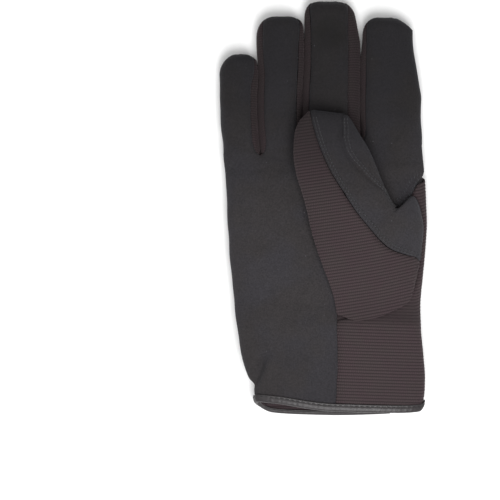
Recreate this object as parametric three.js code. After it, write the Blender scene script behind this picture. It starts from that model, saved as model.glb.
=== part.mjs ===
// A mechanic's work glove for the right hand, lying palm up with the thumb folded over the palm.
// Millimetres, +Z up. Fingers point along +Y, the thumb side is +X, the back of the hand lies below.
import * as THREE from 'three';
import { mergeVertices } from 'three/addons/utils/BufferGeometryUtils.js';

// Driving dimensions
const palmBreadth = 116;
const wristBreadth = 98;
const handLength = 147.3;
const middleLength = 86.4;
const ringLength = 77.5;
const indexLength = 77;
const pinkyLength = 55.6;
const fingerThickness = 14;
const handThickness = 20;
const thumbThickness = 15;
const clothWall = 1.1;
const seamGap = 0.35;
const capLength = 25;
const backCrotchDepth = 12;
const strapLength = 56;
const strapWidth = 38;
const strapThickness = 1.4;
const bindingSkin = 0.6;
const bindingLap = 3.2;
const bindingNose = 0.9;
const hemSkin = 0.8;
const hemLap = 3;
const hemNose = 1.7;
const slitBindingLap = 3;
const padLength = 30;
const padWidth = 22;
const padThickness = 0.9;
const padShare = 0.5;
const patchThickness = 0.9;

const strapStack = strapThickness + bindingSkin + 2 * seamGap + padThickness + seamGap;
const sideFloor = hemSkin + seamGap;
const fingerMid = 0.46 * fingerThickness;

// Roundness of a section above and below its middle, and the places where palm and back end.
const roundTop = 0.85;
const roundBottom = 0.6;
const wrapPalm = 1.2;
const wrapBack = 1.32;
// How far the round of an underside would reach below the ground, where it is pressed flat.
const handSink = 1.2;
const fingerSink = 0.8;
// Shares of handLength between which the wrist rises onto the strap.
const liftStart = 0.58;
const liftEnd = 0.72;
// Fingers widen towards their roots by this share, over this share of middleLength.
const rootWiden = 0.3;
const rootSpread = 0.35;
const rootOpening = 8;
// Seams move in from a finger's outline over these lengths from its tip and its root.
const seamTipStart = 3;
const seamTipEnd = 16;
const seamRootLength = 26;
const fourchetteStart = 13;

// Sides shared by neighbouring fingers: up is a share of middleLength, across a share of palmBreadth.
const fingerSides = [
  [
    { up: -0.2, across: -0.487 }, { up: 0, across: -0.494 }, { up: 0.1, across: -0.5025 },
    { up: 0.2, across: -0.5075 }, { up: 0.34, across: -0.512 }, { up: 0.47, across: -0.5135 },
    { up: 0.7, across: -0.5135 },
  ],
  [
    { up: -0.3, across: -0.29 }, { up: 0, across: -0.31 }, { up: 0.13, across: -0.3175 },
    { up: 0.24, across: -0.3225 }, { up: 0.37, across: -0.3225 }, { up: 0.5, across: -0.3175 },
    { up: 0.62, across: -0.3265 }, { up: 0.73, across: -0.3305 }, { up: 0.95, across: -0.33 },
  ],
  [
    { up: -0.25, across: -0.09 }, { up: 0, across: -0.0965 }, { up: 0.24, across: -0.0975 },
    { up: 0.4, across: -0.096 }, { up: 0.6, across: -0.0885 }, { up: 0.72, across: -0.0885 },
    { up: 1.05, across: -0.0925 },
  ],
  [
    { up: -0.25, across: 0.206 }, { up: 0, across: 0.197 }, { up: 0.27, across: 0.191 },
    { up: 0.47, across: 0.1925 }, { up: 0.68, across: 0.195 }, { up: 1.05, across: 0.196 },
  ],
  [
    { up: -0.2, across: 0.509 }, { up: -0.07, across: 0.505 }, { up: 0.07, across: 0.499 },
    { up: 0.2, across: 0.4925 }, { up: 0.34, across: 0.494 }, { up: 0.42, across: 0.485 },
    { up: 0.54, across: 0.475 }, { up: 0.68, across: 0.46 }, { up: 0.78, across: 0.455 },
    { up: 0.9, across: 0.458 },
  ],
];

// Fingers from the little finger to the index finger. Corners, tapers and seam insets in mm,
// palmRoot and backRoot are the depths of the crotch on the fingers' left, as shares of middleLength.
const fingers = [
  { name: 'pinky', length: pinkyLength, cap: false, cornerLeft: 9, cornerRight: 3.5, taperLeft: 0,
    taperRight: 0, seamLeft: 0, seamRight: 3.7, palmRoot: -0.02, backRoot: -0.03 },
  { name: 'ring', length: ringLength, cap: true, cornerLeft: 5.5, cornerRight: 5, taperLeft: 0,
    taperRight: 0, seamLeft: 3.5, seamRight: 2.9, palmRoot: -0.034, backRoot: -0.03 },
  { name: 'middle', length: middleLength, cap: true, cornerLeft: 5.5, cornerRight: 6, taperLeft: 0,
    taperRight: 3.6, seamLeft: 3.3, seamRight: 7.2, palmRoot: 0.08, backRoot: 0.085 },
  { name: 'index', length: indexLength, cap: true, cornerLeft: 5, cornerRight: 9, taperLeft: 1.6,
    taperRight: 0, seamLeft: 2.6, seamRight: 0, palmRoot: 0.06, backRoot: 0.065 },
];
const lastRoot = { palmRoot: 0.04, backRoot: -0.02 };
const taperLength = 24;
const tipRound = 5.5;

// Silhouette of the hand below the fingers: down is a share of handLength, across of the local breadth.
const handSides = [
  { down: -0.2, left: -0.494, right: 0.49 }, { down: -0.04, left: -0.494, right: 0.4965 },
  { down: 0.08, left: -0.4925, right: 0.519 }, { down: 0.2, left: -0.49, right: 0.537 },
  { down: 0.32, left: -0.4905, right: 0.5495 }, { down: 0.5, left: -0.488, right: 0.549 },
  { down: 0.6, left: -0.483, right: 0.545 }, { down: 0.7, left: -0.476, right: 0.554 },
  { down: 0.8, left: -0.462, right: 0.578 }, { down: 0.9, left: -0.4265, right: 0.597 },
  { down: 0.96, left: -0.397, right: 0.599 }, { down: 1.04, left: -0.385, right: 0.584 },
];

// Levels of the hand: middle and top are shares of handThickness above the underside.
const handLevels = [
  { down: -0.2, middle: 0.33, top: 0.72 }, { down: 0, middle: 0.36, top: 0.78 },
  { down: 0.2, middle: 0.43, top: 0.95 }, { down: 0.45, middle: 0.46, top: 1.03 },
  { down: 0.7, middle: 0.42, top: 0.92 }, { down: 0.85, middle: 0.38, top: 0.85 },
  { down: 1.06, middle: 0.37, top: 0.8 },
];

// The hem, by place round the opening: -1 and 1 are the sides, 0 the palm side, 2 the back.
const hemLine = [
  { round: -2, down: 1.035 }, { round: -1.5, down: 1.024 }, { round: -1.15, down: 0.994 },
  { round: -1, down: 0.986 }, { round: -0.8, down: 0.98 }, { round: -0.5, down: 0.986 },
  { round: 0, down: 1.016 }, { round: 0.5, down: 1.022 }, { round: 0.85, down: 1.018 },
  { round: 1, down: 1.002 }, { round: 1.15, down: 1.008 }, { round: 1.5, down: 1.024 },
  { round: 2, down: 1.035 },
];

// Rows of the palm panel: down along its left and right edge, and where its right edge lies.
const palmRows = [
  { row: 1, leftDown: 0.06, rightDown: 0.07, rightAcross: 0.517 },
  { row: 2, leftDown: 0.13, rightDown: 0.173, rightAcross: 0.4625 },
  { row: 3, leftDown: 0.2, rightDown: 0.236, rightAcross: 0.379 },
  { row: 4, leftDown: 0.335, rightDown: 0.335, rightAcross: 0.232 },
  { row: 5, leftDown: 0.492, rightDown: 0.465, rightAcross: 0.135 },
  { row: 6, leftDown: 0.642, rightDown: 0.638, rightAcross: 0.078 },
  { row: 7, leftDown: 0.8, rightDown: 0.787, rightAcross: 0.083 },
  { row: 8, leftDown: 0.9, rightDown: 0.9, rightAcross: 0.081 },
  { row: 9, leftDown: 0.98, rightDown: 1.01, rightAcross: 0.071 },
];

// Rows of the back panel: down at its two sides, the slit, and the edge of its flap on the palm side.
const backRows = [
  { row: 0, leftDown: 0.09, rightDown: 0.09, slitAcross: 0.36, flapAcross: 0.519, flapDown: 0.095 },
  { row: 1, leftDown: 0.12, rightDown: 0.15, slitAcross: 0.366, flapAcross: 0.463, flapDown: 0.184 },
  { row: 2, leftDown: 0.18, rightDown: 0.21, slitAcross: 0.37, flapAcross: 0.5086, flapDown: 0.236 },
  { row: 3, leftDown: 0.27, rightDown: 0.3, slitAcross: 0.376, flapAcross: 0.532, flapDown: 0.315 },
  { row: 4, leftDown: 0.37, rightDown: 0.4, slitAcross: 0.382, flapAcross: 0.533, flapDown: 0.429 },
  { row: 5, leftDown: 0.46, rightDown: 0.48, slitAcross: 0.388, flapAcross: 0.519, flapDown: 0.516 },
  { row: 6, leftDown: 0.54, rightDown: 0.55, slitAcross: 0.391, flapAcross: 0.462, flapDown: 0.587 },
  { row: 7, leftDown: 0.6, rightDown: 0.61, slitAcross: 0.387, flapAcross: 0.333, flapDown: 0.634 },
  { row: 8, leftDown: 0.67, rightDown: 0.67, slitAcross: 0.352, flapAcross: 0.156, flapDown: 0.659 },
  { row: 9, leftDown: 0.74, rightDown: 0.73, slitAcross: 0.35, flapAcross: 0.0866, flapDown: 0.677 },
  { row: 10, leftDown: 0.81, rightDown: 0.8, slitAcross: 0.358, flapAcross: 0.088, flapDown: 0.768 },
  { row: 11, leftDown: 0.9, rightDown: 0.9, slitAcross: 0.378, flapAcross: 0.087, flapDown: 0.886 },
  { row: 12, leftDown: 1, rightDown: 1, slitAcross: 0.47, flapAcross: 0.077, flapDown: 1 },
];
const slitTopRow = 7;
const slitWidth = 2.4;

// Thumb, from its tip to its base. Left silhouette, seam, patch edge and right edge in plan,
// crest and rises are shares of thumbThickness above the palm.
const thumbRows = [
  { row: 0, leftX: -0.081, leftD: -0.138, seamX: -0.062, seamD: -0.1535, edgeX: 0.093, rightX: 0.108,
    rightD: -0.142, crest: 0.86, leftRise: 0.42, rightRise: 0.42 },
  { row: 1, leftX: -0.1105, leftD: -0.114, seamX: -0.056, seamD: -0.118, edgeX: 0.0967, rightX: 0.1376,
    rightD: -0.114, crest: 0.9, leftRise: 0.44, rightRise: 0.44 },
  { row: 2, leftX: -0.139, leftD: -0.059, seamX: -0.037, seamD: -0.059, edgeX: 0.098, rightX: 0.1785,
    rightD: -0.055, crest: 0.96, leftRise: 0.46, rightRise: 0.46 },
  { row: 3, leftX: -0.145, leftD: 0.008, seamX: -0.0075, seamD: 0.008, edgeX: 0.12, rightX: 0.22,
    rightD: 0.004, crest: 1, leftRise: 0.48, rightRise: 0.48 },
  { row: 4, leftX: -0.134, leftD: 0.079, seamX: 0.033, seamD: 0.079, edgeX: 0.187, rightX: 0.263,
    rightD: 0.071, crest: 1, leftRise: 0.5, rightRise: 0.48 },
  { row: 5, leftX: -0.11, leftD: 0.161, seamX: 0.0974, seamD: 0.161, edgeX: 0.276, rightX: 0.318,
    rightD: 0.161, crest: 0.98, leftRise: 0.5, rightRise: 0.46 },
  { row: 6, leftX: -0.0806, leftD: 0.248, seamX: 0.174, seamD: 0.248, edgeX: 0.33, rightX: 0.362,
    rightD: 0.22, crest: 0.92, leftRise: 0.5, rightRise: 0.4 },
  { row: 7, leftX: -0.055, leftD: 0.331, seamX: 0.236, seamD: 0.303, edgeX: 0.36, rightX: 0.389,
    rightD: 0.232, crest: 0.84, leftRise: 0.5, rightRise: 0.3 },
  { row: 8, leftX: -0.0267, leftD: 0.402, seamX: 0.302, seamD: 0.358, edgeX: 0.44, rightX: 0.463,
    rightD: 0.181, crest: 0.72, leftRise: 0.46, rightRise: 0.1 },
  { row: 9, leftX: 0.0054, leftD: 0.4646, seamX: 0.362, seamD: 0.392, edgeX: 0.5, rightX: 0.513,
    rightD: 0.248, crest: 0.58, leftRise: 0.38, rightRise: 0.1 },
  { row: 10, leftX: 0.038, leftD: 0.5276, seamX: 0.443, seamD: 0.413, edgeX: 0.52, rightX: 0.533,
    rightD: 0.323, crest: 0.42, leftRise: 0.3, rightRise: 0.1 },
  { row: 11, leftX: 0.063, leftD: 0.587, seamX: 0.508, seamD: 0.425, edgeX: 0.528, rightX: 0.531,
    rightD: 0.408, crest: 0.25, leftRise: 0.2, rightRise: 0.1 },
  { row: 12, leftX: 0.079, leftD: 0.645, seamX: 0.5265, seamD: 0.441, edgeX: 0.53, rightX: 0.531,
    rightD: 0.436, crest: 0.11, leftRise: 0.1, rightRise: 0.1 },
];
const crotchRow = 7;
const baseRow = 12;
const tipRows = 1.3;
// How far the thumb's base seam sags below the straight line between its ends.
const baseSag = [
  { along: 0, across: 0, down: 0 }, { along: 0.25, across: 0.01, down: 0.075 },
  { along: 0.5, across: 0.03, down: 0.105 }, { along: 0.75, across: 0.045, down: 0.11 },
  { along: 1, across: 0, down: 0 },
];

// The strap tab's middle line: where it leaves the slit, as a share of handLength, and its slope.
const strapMiddle = 0.832;
const strapTilt = THREE.MathUtils.degToRad(7);

// Smooth curve through one column of a table, without overshoot.
function column(table, key, name) {
  const xs = table.map((row) => row[key]);
  const ys = table.map((row) => row[name]);
  const count = xs.length;
  const slopes = [];
  for (let i = 0; i < count - 1; i += 1) {
    slopes.push((ys[i + 1] - ys[i]) / (xs[i + 1] - xs[i]));
  }
  const tangents = xs.map((x, i) => {
    if (i === 0) {
      return slopes[0];
    }
    if (i === count - 1) {
      return slopes[count - 2];
    }
    if (slopes[i - 1] * slopes[i] <= 0) {
      return 0;
    }
    return (2 * slopes[i - 1] * slopes[i]) / (slopes[i - 1] + slopes[i]);
  });
  return (x) => {
    if (x <= xs[0]) {
      return ys[0];
    }
    if (x >= xs[count - 1]) {
      return ys[count - 1];
    }
    let i = 0;
    while (x > xs[i + 1]) {
      i += 1;
    }
    const span = xs[i + 1] - xs[i];
    const t = (x - xs[i]) / span;
    const a = (1 + 2 * t) * (1 - t) * (1 - t);
    const b = t * (1 - t) * (1 - t);
    const c = t * t * (3 - 2 * t);
    const d = t * t * (t - 1);
    return a * ys[i] + b * span * tangents[i] + c * ys[i + 1] + d * span * tangents[i + 1];
  };
}

const { lerp, clamp, smoothstep } = THREE.MathUtils;
const signedPower = (value, power) => Math.sign(value) * Math.abs(value) ** power;
const circleRise = (distance, radius) => Math.sqrt(1 - (1 - clamp(distance / radius, 0, 1)) ** 2);

const sideCurves = fingerSides.map((table) => column(table, 'up', 'across'));
const handLeft = column(handSides, 'down', 'left');
const handRight = column(handSides, 'down', 'right');
const levelMiddle = column(handLevels, 'down', 'middle');
const levelTop = column(handLevels, 'down', 'top');
const hemDown = column(hemLine, 'round', 'down');
const slitAcross = column(backRows, 'leftDown', 'slitAcross');

// Breadth of the hand that shares across are taken of.
const breadthAt = (down) => lerp(palmBreadth, wristBreadth, Math.max(down, 0));
const handX = (across, down) => across * breadthAt(down);
const downOf = (y) => -y / handLength;

// Places run round a section and repeat every 4: this gives the one between -2 and 2.
const signedPlace = (place) => (place > 2 ? place - 4 : place < -2 ? place + 4 : place);

// One section of the hand or a finger: place 0 is the top, 1 the right side, 2 the bottom, -1 the left.
function sectionPoint(section, place, y) {
  const signed = signedPlace(place);
  const turn = signed * Math.PI / 2;
  const isTop = Math.abs(signed) <= 1;
  const power = isTop ? roundTop : roundBottom;
  const e = signedPower(Math.sin(turn), power);
  const w = Math.abs(Math.cos(turn)) ** power;
  const half = e < 0 ? section.halfLeft : section.halfRight;
  const x = section.centre + half * e;
  if (isTop) {
    return new THREE.Vector3(x, y, section.middle + (section.top - section.middle) * w);
  }
  const flat = section.floor - section.sink;
  const z = Math.max(section.floor, section.middle - (section.middle - flat) * w);
  return new THREE.Vector3(x, y, z);
}

function placeOf(section, x, isTop) {
  const half = x < section.centre ? section.halfLeft : section.halfRight;
  const e = clamp((x - section.centre) / half, -1, 1);
  const turn = Math.asin(signedPower(e, 1 / (isTop ? roundTop : roundBottom))) * 2 / Math.PI;
  return isTop ? turn : 2 - turn;
}

// The wrist is held off the ground by the strap; the side part past the slit droops back down.
function handFloor(down, part) {
  const lift = strapStack * smoothstep(down, liftStart, liftEnd);
  return part === 'side' ? Math.min(lift, sideFloor) : lift;
}

function handSection(y, part = 'main') {
  const down = downOf(y);
  const left = handX(handLeft(down), down);
  const right = handX(handRight(down), down);
  const floor = handFloor(down, part);
  const rise = handFloor(down, 'main');
  return {
    centre: (left + right) / 2,
    halfLeft: (right - left) / 2,
    halfRight: (right - left) / 2,
    middle: rise + handThickness * levelMiddle(down),
    top: rise + handThickness * levelTop(down),
    floor,
    sink: handSink,
  };
}

// Cross section of a finger at height y; widened near the root so that neighbours meet in a valley.
function fingerSection(index, y, isTop = true) {
  const finger = fingers[index];
  const up = y / middleLength;
  const distance = Math.max(finger.length - y, 0);
  const taper = Math.max(1 - distance / taperLength, 0);
  const roots = isTop ? palmRoots : backRoots;
  const opening = (root) => seamGap * clamp((y - root) / rootOpening, 0, 1);
  const hasLeft = index > 0;
  const hasRight = index < fingers.length - 1;
  const gapLeft = hasLeft ? opening(roots[index]) : 0;
  const gapRight = hasRight ? opening(roots[index + 1]) : 0;
  const round = (corner) => corner * (1 - circleRise(distance, corner));
  const left = sideCurves[index](up) * palmBreadth + gapLeft
    + round(finger.cornerLeft) + finger.taperLeft * taper;
  const right = sideCurves[index + 1](up) * palmBreadth - gapRight
    - round(finger.cornerRight) - finger.taperRight * taper;
  const depth = isTop ? y : y + backCrotchDepth;
  const widen = 1 + rootWiden * (1 - smoothstep(depth, 0, rootSpread * middleLength));
  const centre = (left + right) / 2;
  const half = (right - left) / 2;
  const closing = circleRise(distance, tipRound);
  const seam = seamGap / 2;
  return {
    left,
    right,
    centre,
    halfLeft: half * (hasLeft ? widen : 1),
    halfRight: half * (hasRight ? widen : 1),
    middle: fingerMid + (isTop ? seam : -seam),
    top: fingerMid + seam + (fingerThickness - fingerMid - seam) * closing,
    floor: (fingerMid - seam) * (1 - closing),
    sink: fingerSink * closing,
  };
}

// Inset of a finger's seam from its silhouette: none at the tip, growing, closing at the crotch.
function seamPlace(index, side, y, rootY, isTop) {
  const finger = fingers[index];
  const inset = side < 0 ? finger.seamLeft : finger.seamRight;
  const section = fingerSection(index, y, isTop);
  if (inset === 0) {
    return side * (isTop ? wrapPalm : wrapBack);
  }
  const fromTip = smoothstep(finger.length - y, seamTipStart, seamTipEnd);
  const fromRoot = smoothstep(y - rootY, 0, seamRootLength);
  const open = inset * fromTip * fromRoot;
  const x = side < 0 ? section.left + open : section.right - open;
  const besideEdge = 0.985;
  return clamp(placeOf(section, x, true), -besideEdge, besideEdge);
}

const palmRoots = [...fingers, lastRoot].map((entry) => entry.palmRoot * middleLength);
const backRoots = [...fingers, lastRoot].map((entry) => entry.backRoot * middleLength - backCrotchDepth);

const samePoint = 0.01;

// Collects grid patches that share vertices and thickens them into one closed wall.
class Panel {
  constructor() {
    this.points = [];
    this.normals = [];
    this.quads = [];
  }

  vertex(point, normal) {
    let index = this.points.findIndex((other) => other.distanceTo(point) < samePoint);
    if (index < 0) {
      index = this.points.length;
      this.points.push(point);
      this.normals.push(new THREE.Vector3());
    }
    this.normals[index].add(normal);
    return index;
  }

  // rows and columns are lists of parameters; surface(row, column) gives the outer point.
  patch(rows, columns, surface, tune = (point, normal) => normal) {
    const step = 0.02;
    const grid = rows.map((row) => columns.map((col) => {
      const point = surface(row, col);
      const r0 = Math.max(row - step, rows[0]);
      const r1 = Math.min(row + step, rows[rows.length - 1]);
      const c0 = Math.max(col - step, columns[0]);
      const c1 = Math.min(col + step, columns[columns.length - 1]);
      const along = surface(r1, col).sub(surface(r0, col));
      const around = surface(row, c1).sub(surface(row, c0));
      const normal = tune(point, along.cross(around).normalize(), row);
      return this.vertex(point, normal);
    }));
    for (let i = 0; i < rows.length - 1; i += 1) {
      for (let j = 0; j < columns.length - 1; j += 1) {
        this.quads.push([grid[i][j], grid[i + 1][j], grid[i + 1][j + 1], grid[i][j + 1]]);
      }
    }
    return grid;
  }

  geometry(wall, lift = 0) {
    const count = this.points.length;
    const position = [];
    this.normals.forEach((normal) => normal.normalize());
    this.points.forEach((point, i) => {
      position.push(...point.clone().addScaledVector(this.normals[i], lift).toArray());
    });
    this.points.forEach((point, i) => {
      position.push(...point.clone().addScaledVector(this.normals[i], lift - wall).toArray());
    });
    const triangles = [];
    this.quads.forEach(([a, b, c, d]) => {
      const spanAC = this.points[a].distanceTo(this.points[c]);
      const spanBD = this.points[b].distanceTo(this.points[d]);
      const cutAC = spanAC <= spanBD;
      const pair = cutAC ? [[a, b, c], [a, c, d]] : [[a, b, d], [b, c, d]];
      pair.forEach((tri) => {
        if (new Set(tri).size === 3) {
          triangles.push(tri);
        }
      });
    });
    const edges = new Set();
    triangles.forEach(([a, b, c]) => {
      [[a, b], [b, c], [c, a]].forEach(([p, q]) => edges.add(`${p},${q}`));
    });
    const index = [];
    triangles.forEach(([a, b, c]) => {
      index.push(a, b, c, a + count, c + count, b + count);
      [[a, b], [b, c], [c, a]].forEach(([p, q]) => {
        if (!edges.has(`${q},${p}`)) {
          index.push(q, p, p + count, q, p + count, q + count);
        }
      });
    });
    const geometry = new THREE.BufferGeometry();
    geometry.setAttribute('position', new THREE.Float32BufferAttribute(position, 3));
    geometry.setIndex(index);
    return geometry;
  }
}

const steps = (from, to, count) => Array.from({ length: count + 1 }, (_, i) => lerp(from, to, i / count));
const tipSteps = [0, 0.006, 0.02, 0.045, 0.08, 0.14];

// Fronts or backs of one finger as a function of (row 0 at tip .. 1 at root, column 0 .. 1).
function fingerSurface(index, isTop, roots) {
  const finger = fingers[index];
  return (row, col) => {
    const left = lerp(finger.length, roots[index], row);
    const right = lerp(finger.length, roots[index + 1], row);
    const leftPlace = seamPlace(index, -1, left, roots[index], isTop);
    const rightPlace = seamPlace(index, 1, right, roots[index + 1], isTop);
    if (isTop) {
      const y = lerp(left, right, col);
      return sectionPoint(fingerSection(index, y, true), lerp(leftPlace, rightPlace, col), y);
    }
    const y = lerp(right, left, col);
    const from = finger.seamRight === 0 ? wrapBack : 2 - rightPlace;
    const to = finger.seamLeft === 0 ? 4 - wrapBack : 2 - leftPlace;
    return sectionPoint(fingerSection(index, y, false), lerp(from, to, col), y);
  };
}

const fingerColumns = 6;
const fingerCols = steps(0, 1, fingerColumns);

// The walls of two panels that meet at a tip stay on their own side of the seam.
const tipNormal = (index) => (point, normal) => {
  const distance = fingers[index].length - point.y;
  const flat = 1 - smoothstep(distance, 0, 1.5);
  return normal.set(normal.x, normal.y, normal.z * (1 - flat)).normalize();
};

function handPoint(place, down, part = 'main') {
  const y = -down * handLength;
  return sectionPoint(handSection(y, part), place, y);
}

// Sets the two ends of a row of places and spaces the columns next to them evenly.
function spaceEnds(places, from, to) {
  const last = places.length - 1;
  const inner = 3;
  for (let i = 0; i < inner; i += 1) {
    places[i] = lerp(from, places[inner], i / inner);
    places[last - i] = lerp(to, places[last - inner], i / inner);
  }
}

// Rows below the crotches over which the wave of the root row and its height fade out
const waveRows = 2.5;
const rootBlendRows = 2;

// Palm panel: the fronts of the four fingers and the palm down to the hem
function palmSurface() {
  const rootRow = [];
  fingers.forEach((finger, index) => {
    const surface = fingerSurface(index, true, palmRoots);
    fingerCols.forEach((col) => {
      if (index === 0 || col > 0) {
        rootRow.push(surface(1, col));
      }
    });
  });
  const leftDown = column([{ row: 0, value: downOf(rootRow[0].y) },
    ...palmRows.map((entry) => ({ row: entry.row, value: entry.leftDown }))], 'row', 'value');
  const last = rootRow[rootRow.length - 1];
  const rightDown = column([{ row: 0, value: downOf(last.y) },
    ...palmRows.map((entry) => ({ row: entry.row, value: entry.rightDown }))], 'row', 'value');
  const rightAcross = column(palmRows, 'row', 'rightAcross');
  const rootPlaces = rootRow.map((point) => {
    const section = handSection(point.y);
    return placeOf(section, point.x, true);
  });
  spaceEnds(rootPlaces, -wrapPalm, wrapPalm);
  const shares = rootPlaces.map((place) => (place + wrapPalm) / (2 * wrapPalm));
  const share = column(shares.map((value, i) => ({ i, value })), 'i', 'value');
  const placeAt = (row, col) => {
    const edge = rightDown(row);
    const section = handSection(-edge * handLength);
    const seam = placeOf(section, handX(rightAcross(row), edge), true);
    const rightPlace = row <= 1 ? wrapPalm : Math.min(wrapPalm, seam);
    return lerp(-wrapPalm, rightPlace, share(col));
  };
  const point = (row, col) => {
    const low = Math.min(Math.floor(col), rootRow.length - 2);
    const base = rootRow[low].clone().lerp(rootRow[low + 1], col - low);
    if (row === 0) {
      return base;
    }
    const along = share(col);
    const place = placeAt(row, col);
    const settled = Math.min(row, palmRows.length - 1);
    const wave = downOf(base.y) - lerp(leftDown(0), rightDown(0), along);
    const straight = lerp(leftDown(settled), rightDown(settled), along)
      + wave * Math.max(1 - row / waveRows, 0) ** 2;
    const down = lerp(straight, hemDown(place), row - settled);
    const result = handPoint(place, down);
    result.z = lerp(result.z, base.z, 1 - smoothstep(row, 0, rootBlendRows));
    return result;
  };
  return { point, last: rootRow.length - 1, hemPlace: (col) => placeAt(palmRows.length, col) };
}

const palm = palmSurface();

function palmPanel() {
  const panel = new Panel();
  const rows = [...tipSteps, ...steps(0.25, 1, 6)];
  fingers.forEach((finger, index) => {
    panel.patch(rows, fingerCols, fingerSurface(index, true, palmRoots), tipNormal(index));
  });
  panel.patch([0, 0.5, 1, 1.5, ...steps(2, 8, 6), 8.6, 9], steps(0, palm.last, palm.last), palm.point);
  return panel.geometry(clothWall);
}

// Back panel: the backs of the fingers below their caps, the back of the hand, and the flap that
// wraps the thumb side of the cuff. A slit runs from the hem towards the thumb.
const capShare = (index) => {
  const root = (backRoots[index] + backRoots[index + 1]) / 2;
  return capLength / (fingers[index].length - root);
};

const slitColumn = 3;
const slitBlendRows = 3;
const hemRow = backRows.length - 1;

function backSurface() {
  const rootRow = [];
  for (let index = fingers.length - 1; index >= 0; index -= 1) {
    const surface = fingerSurface(index, false, backRoots);
    fingerCols.forEach((col) => {
      if (index === fingers.length - 1 || col > 0) {
        rootRow.push(surface(1, col));
      }
    });
  }
  const last = rootRow.length - 1;
  const places = rootRow.map((point) => placeOf(handSection(point.y), point.x, false));
  spaceEnds(places, wrapBack, 4 - wrapBack);
  const rootPlace = column(places.map((value, i) => ({ i, value })), 'i', 'value');
  const fromRoot = (name, point) => column([
    { row: 0, value: downOf(point.y) },
    ...backRows.slice(1).map((entry) => ({ row: entry.row, value: entry[name] })),
  ], 'row', 'value');
  const rightDown = fromRoot('rightDown', rootRow[0]);
  const leftDown = fromRoot('leftDown', rootRow[last]);
  const slitX = column(backRows, 'row', 'slitAcross');
  const slitPlace = places[slitColumn];
  const placeAt = (row, col, down, part, shift) => {
    const section = handSection(-down * handLength, part);
    const anchor = placeOf(section, handX(slitX(row), down) + shift, false);
    const anchorPlace = lerp(slitPlace, anchor, smoothstep(row, 0, slitBlendRows));
    return col <= slitColumn
      ? lerp(wrapBack, anchorPlace, (rootPlace(col) - wrapBack) / (slitPlace - wrapBack))
      : lerp(anchorPlace, 4 - wrapBack, (rootPlace(col) - slitPlace) / (4 - wrapBack - slitPlace));
  };
  const hemPlace = (col) => placeAt(hemRow, col, rightDown(hemRow - 1), 'main', -slitWidth);
  const point = (row, col, side) => {
    const low = Math.min(Math.floor(col), last - 1);
    const base = rootRow[low].clone().lerp(rootRow[low + 1], col - low);
    if (row === 0) {
      return base;
    }
    const openSlit = smoothstep(row, slitTopRow, slitTopRow + 1);
    const rootAlong = (rootPlace(col) - wrapBack) / (4 - 2 * wrapBack);
    const before = Math.min(row, hemRow - 1);
    const straight = lerp(rightDown(before), leftDown(before), rootAlong);
    const wave = downOf(base.y) - lerp(downOf(rootRow[0].y), downOf(rootRow[last].y), rootAlong);
    const waved = straight + wave * Math.max(1 - row / waveRows, 0) ** 2;
    const part = side ? 'side' : 'main';
    const shift = side ? 0 : -slitWidth * openSlit;
    const place = placeAt(row, col, waved, part, shift);
    const down = lerp(waved, hemDown(signedPlace(place)), row - before);
    const result = handPoint(place, down, part);
    result.z = lerp(result.z, base.z, 1 - smoothstep(row, 0, rootBlendRows));
    return result;
  };
  return { point, last, rightDown, hemPlace };
}

const back = backSurface();
const flapDown = column(backRows, 'row', 'flapDown');
const flapAcross = column(backRows, 'row', 'flapAcross');

const flapColumns = [0, 0.2, 0.4, 0.6, 0.7, 0.8, 0.9, 1];

function flapEdgePlace(row) {
  const edge = flapDown(row);
  const section = handSection(-edge * handLength);
  return row <= 0 ? wrapBack : placeOf(section, handX(flapAcross(row), edge), true);
}

const flapStart = flapEdgePlace(hemRow);

function flapPoint(row, share) {
  const before = Math.min(row, hemRow - 1);
  const edge = flapDown(before);
  const start = flapEdgePlace(row);
  const place = lerp(start, wrapBack, share);
  const straight = lerp(edge, back.rightDown(before), smoothstep(share, 0, 1));
  const down = lerp(straight, hemDown(place), row - before);
  return handPoint(place, down, 'side');
}

function backPanel() {
  const panel = new Panel();
  fingers.forEach((finger, index) => {
    const surface = fingerSurface(index, false, backRoots);
    const start = finger.cap ? capShare(index) : 0;
    const rows = finger.cap ? steps(start, 1, 7) : [...tipSteps, ...steps(0.25, 1, 6)];
    panel.patch(rows, fingerCols, surface, tipNormal(index));
  });
  const sideCols = steps(0, slitColumn, slitColumn);
  const mainCols = steps(slitColumn, back.last, back.last - slitColumn);
  const upper = [0, 0.5, ...steps(1, slitTopRow, slitTopRow - 1)];
  const lower = [slitTopRow, slitTopRow + 0.5, ...steps(slitTopRow + 1, hemRow - 1, 3), hemRow - 0.3, hemRow];
  const onSide = (row, col) => back.point(row, col, true);
  const onMain = (row, col) => back.point(row, col, false);
  panel.patch(upper, steps(0, back.last, back.last), onMain);
  panel.patch(lower, sideCols, onSide);
  panel.patch(lower, mainCols, onMain);
  panel.patch([...upper, ...lower.slice(1)], flapColumns, flapPoint);
  return panel.geometry(clothWall);
}

// Suede caps on the backs of three fingertips
function tipCap(index) {
  const panel = new Panel();
  const end = capShare(index) - seamGap / capLength * capShare(index);
  const rows = [...tipSteps.filter((row) => row < end * 0.8), end * 0.8, end];
  panel.patch(rows, fingerCols, fingerSurface(index, false, backRoots), tipNormal(index));
  return panel.geometry(clothWall);
}

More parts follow.
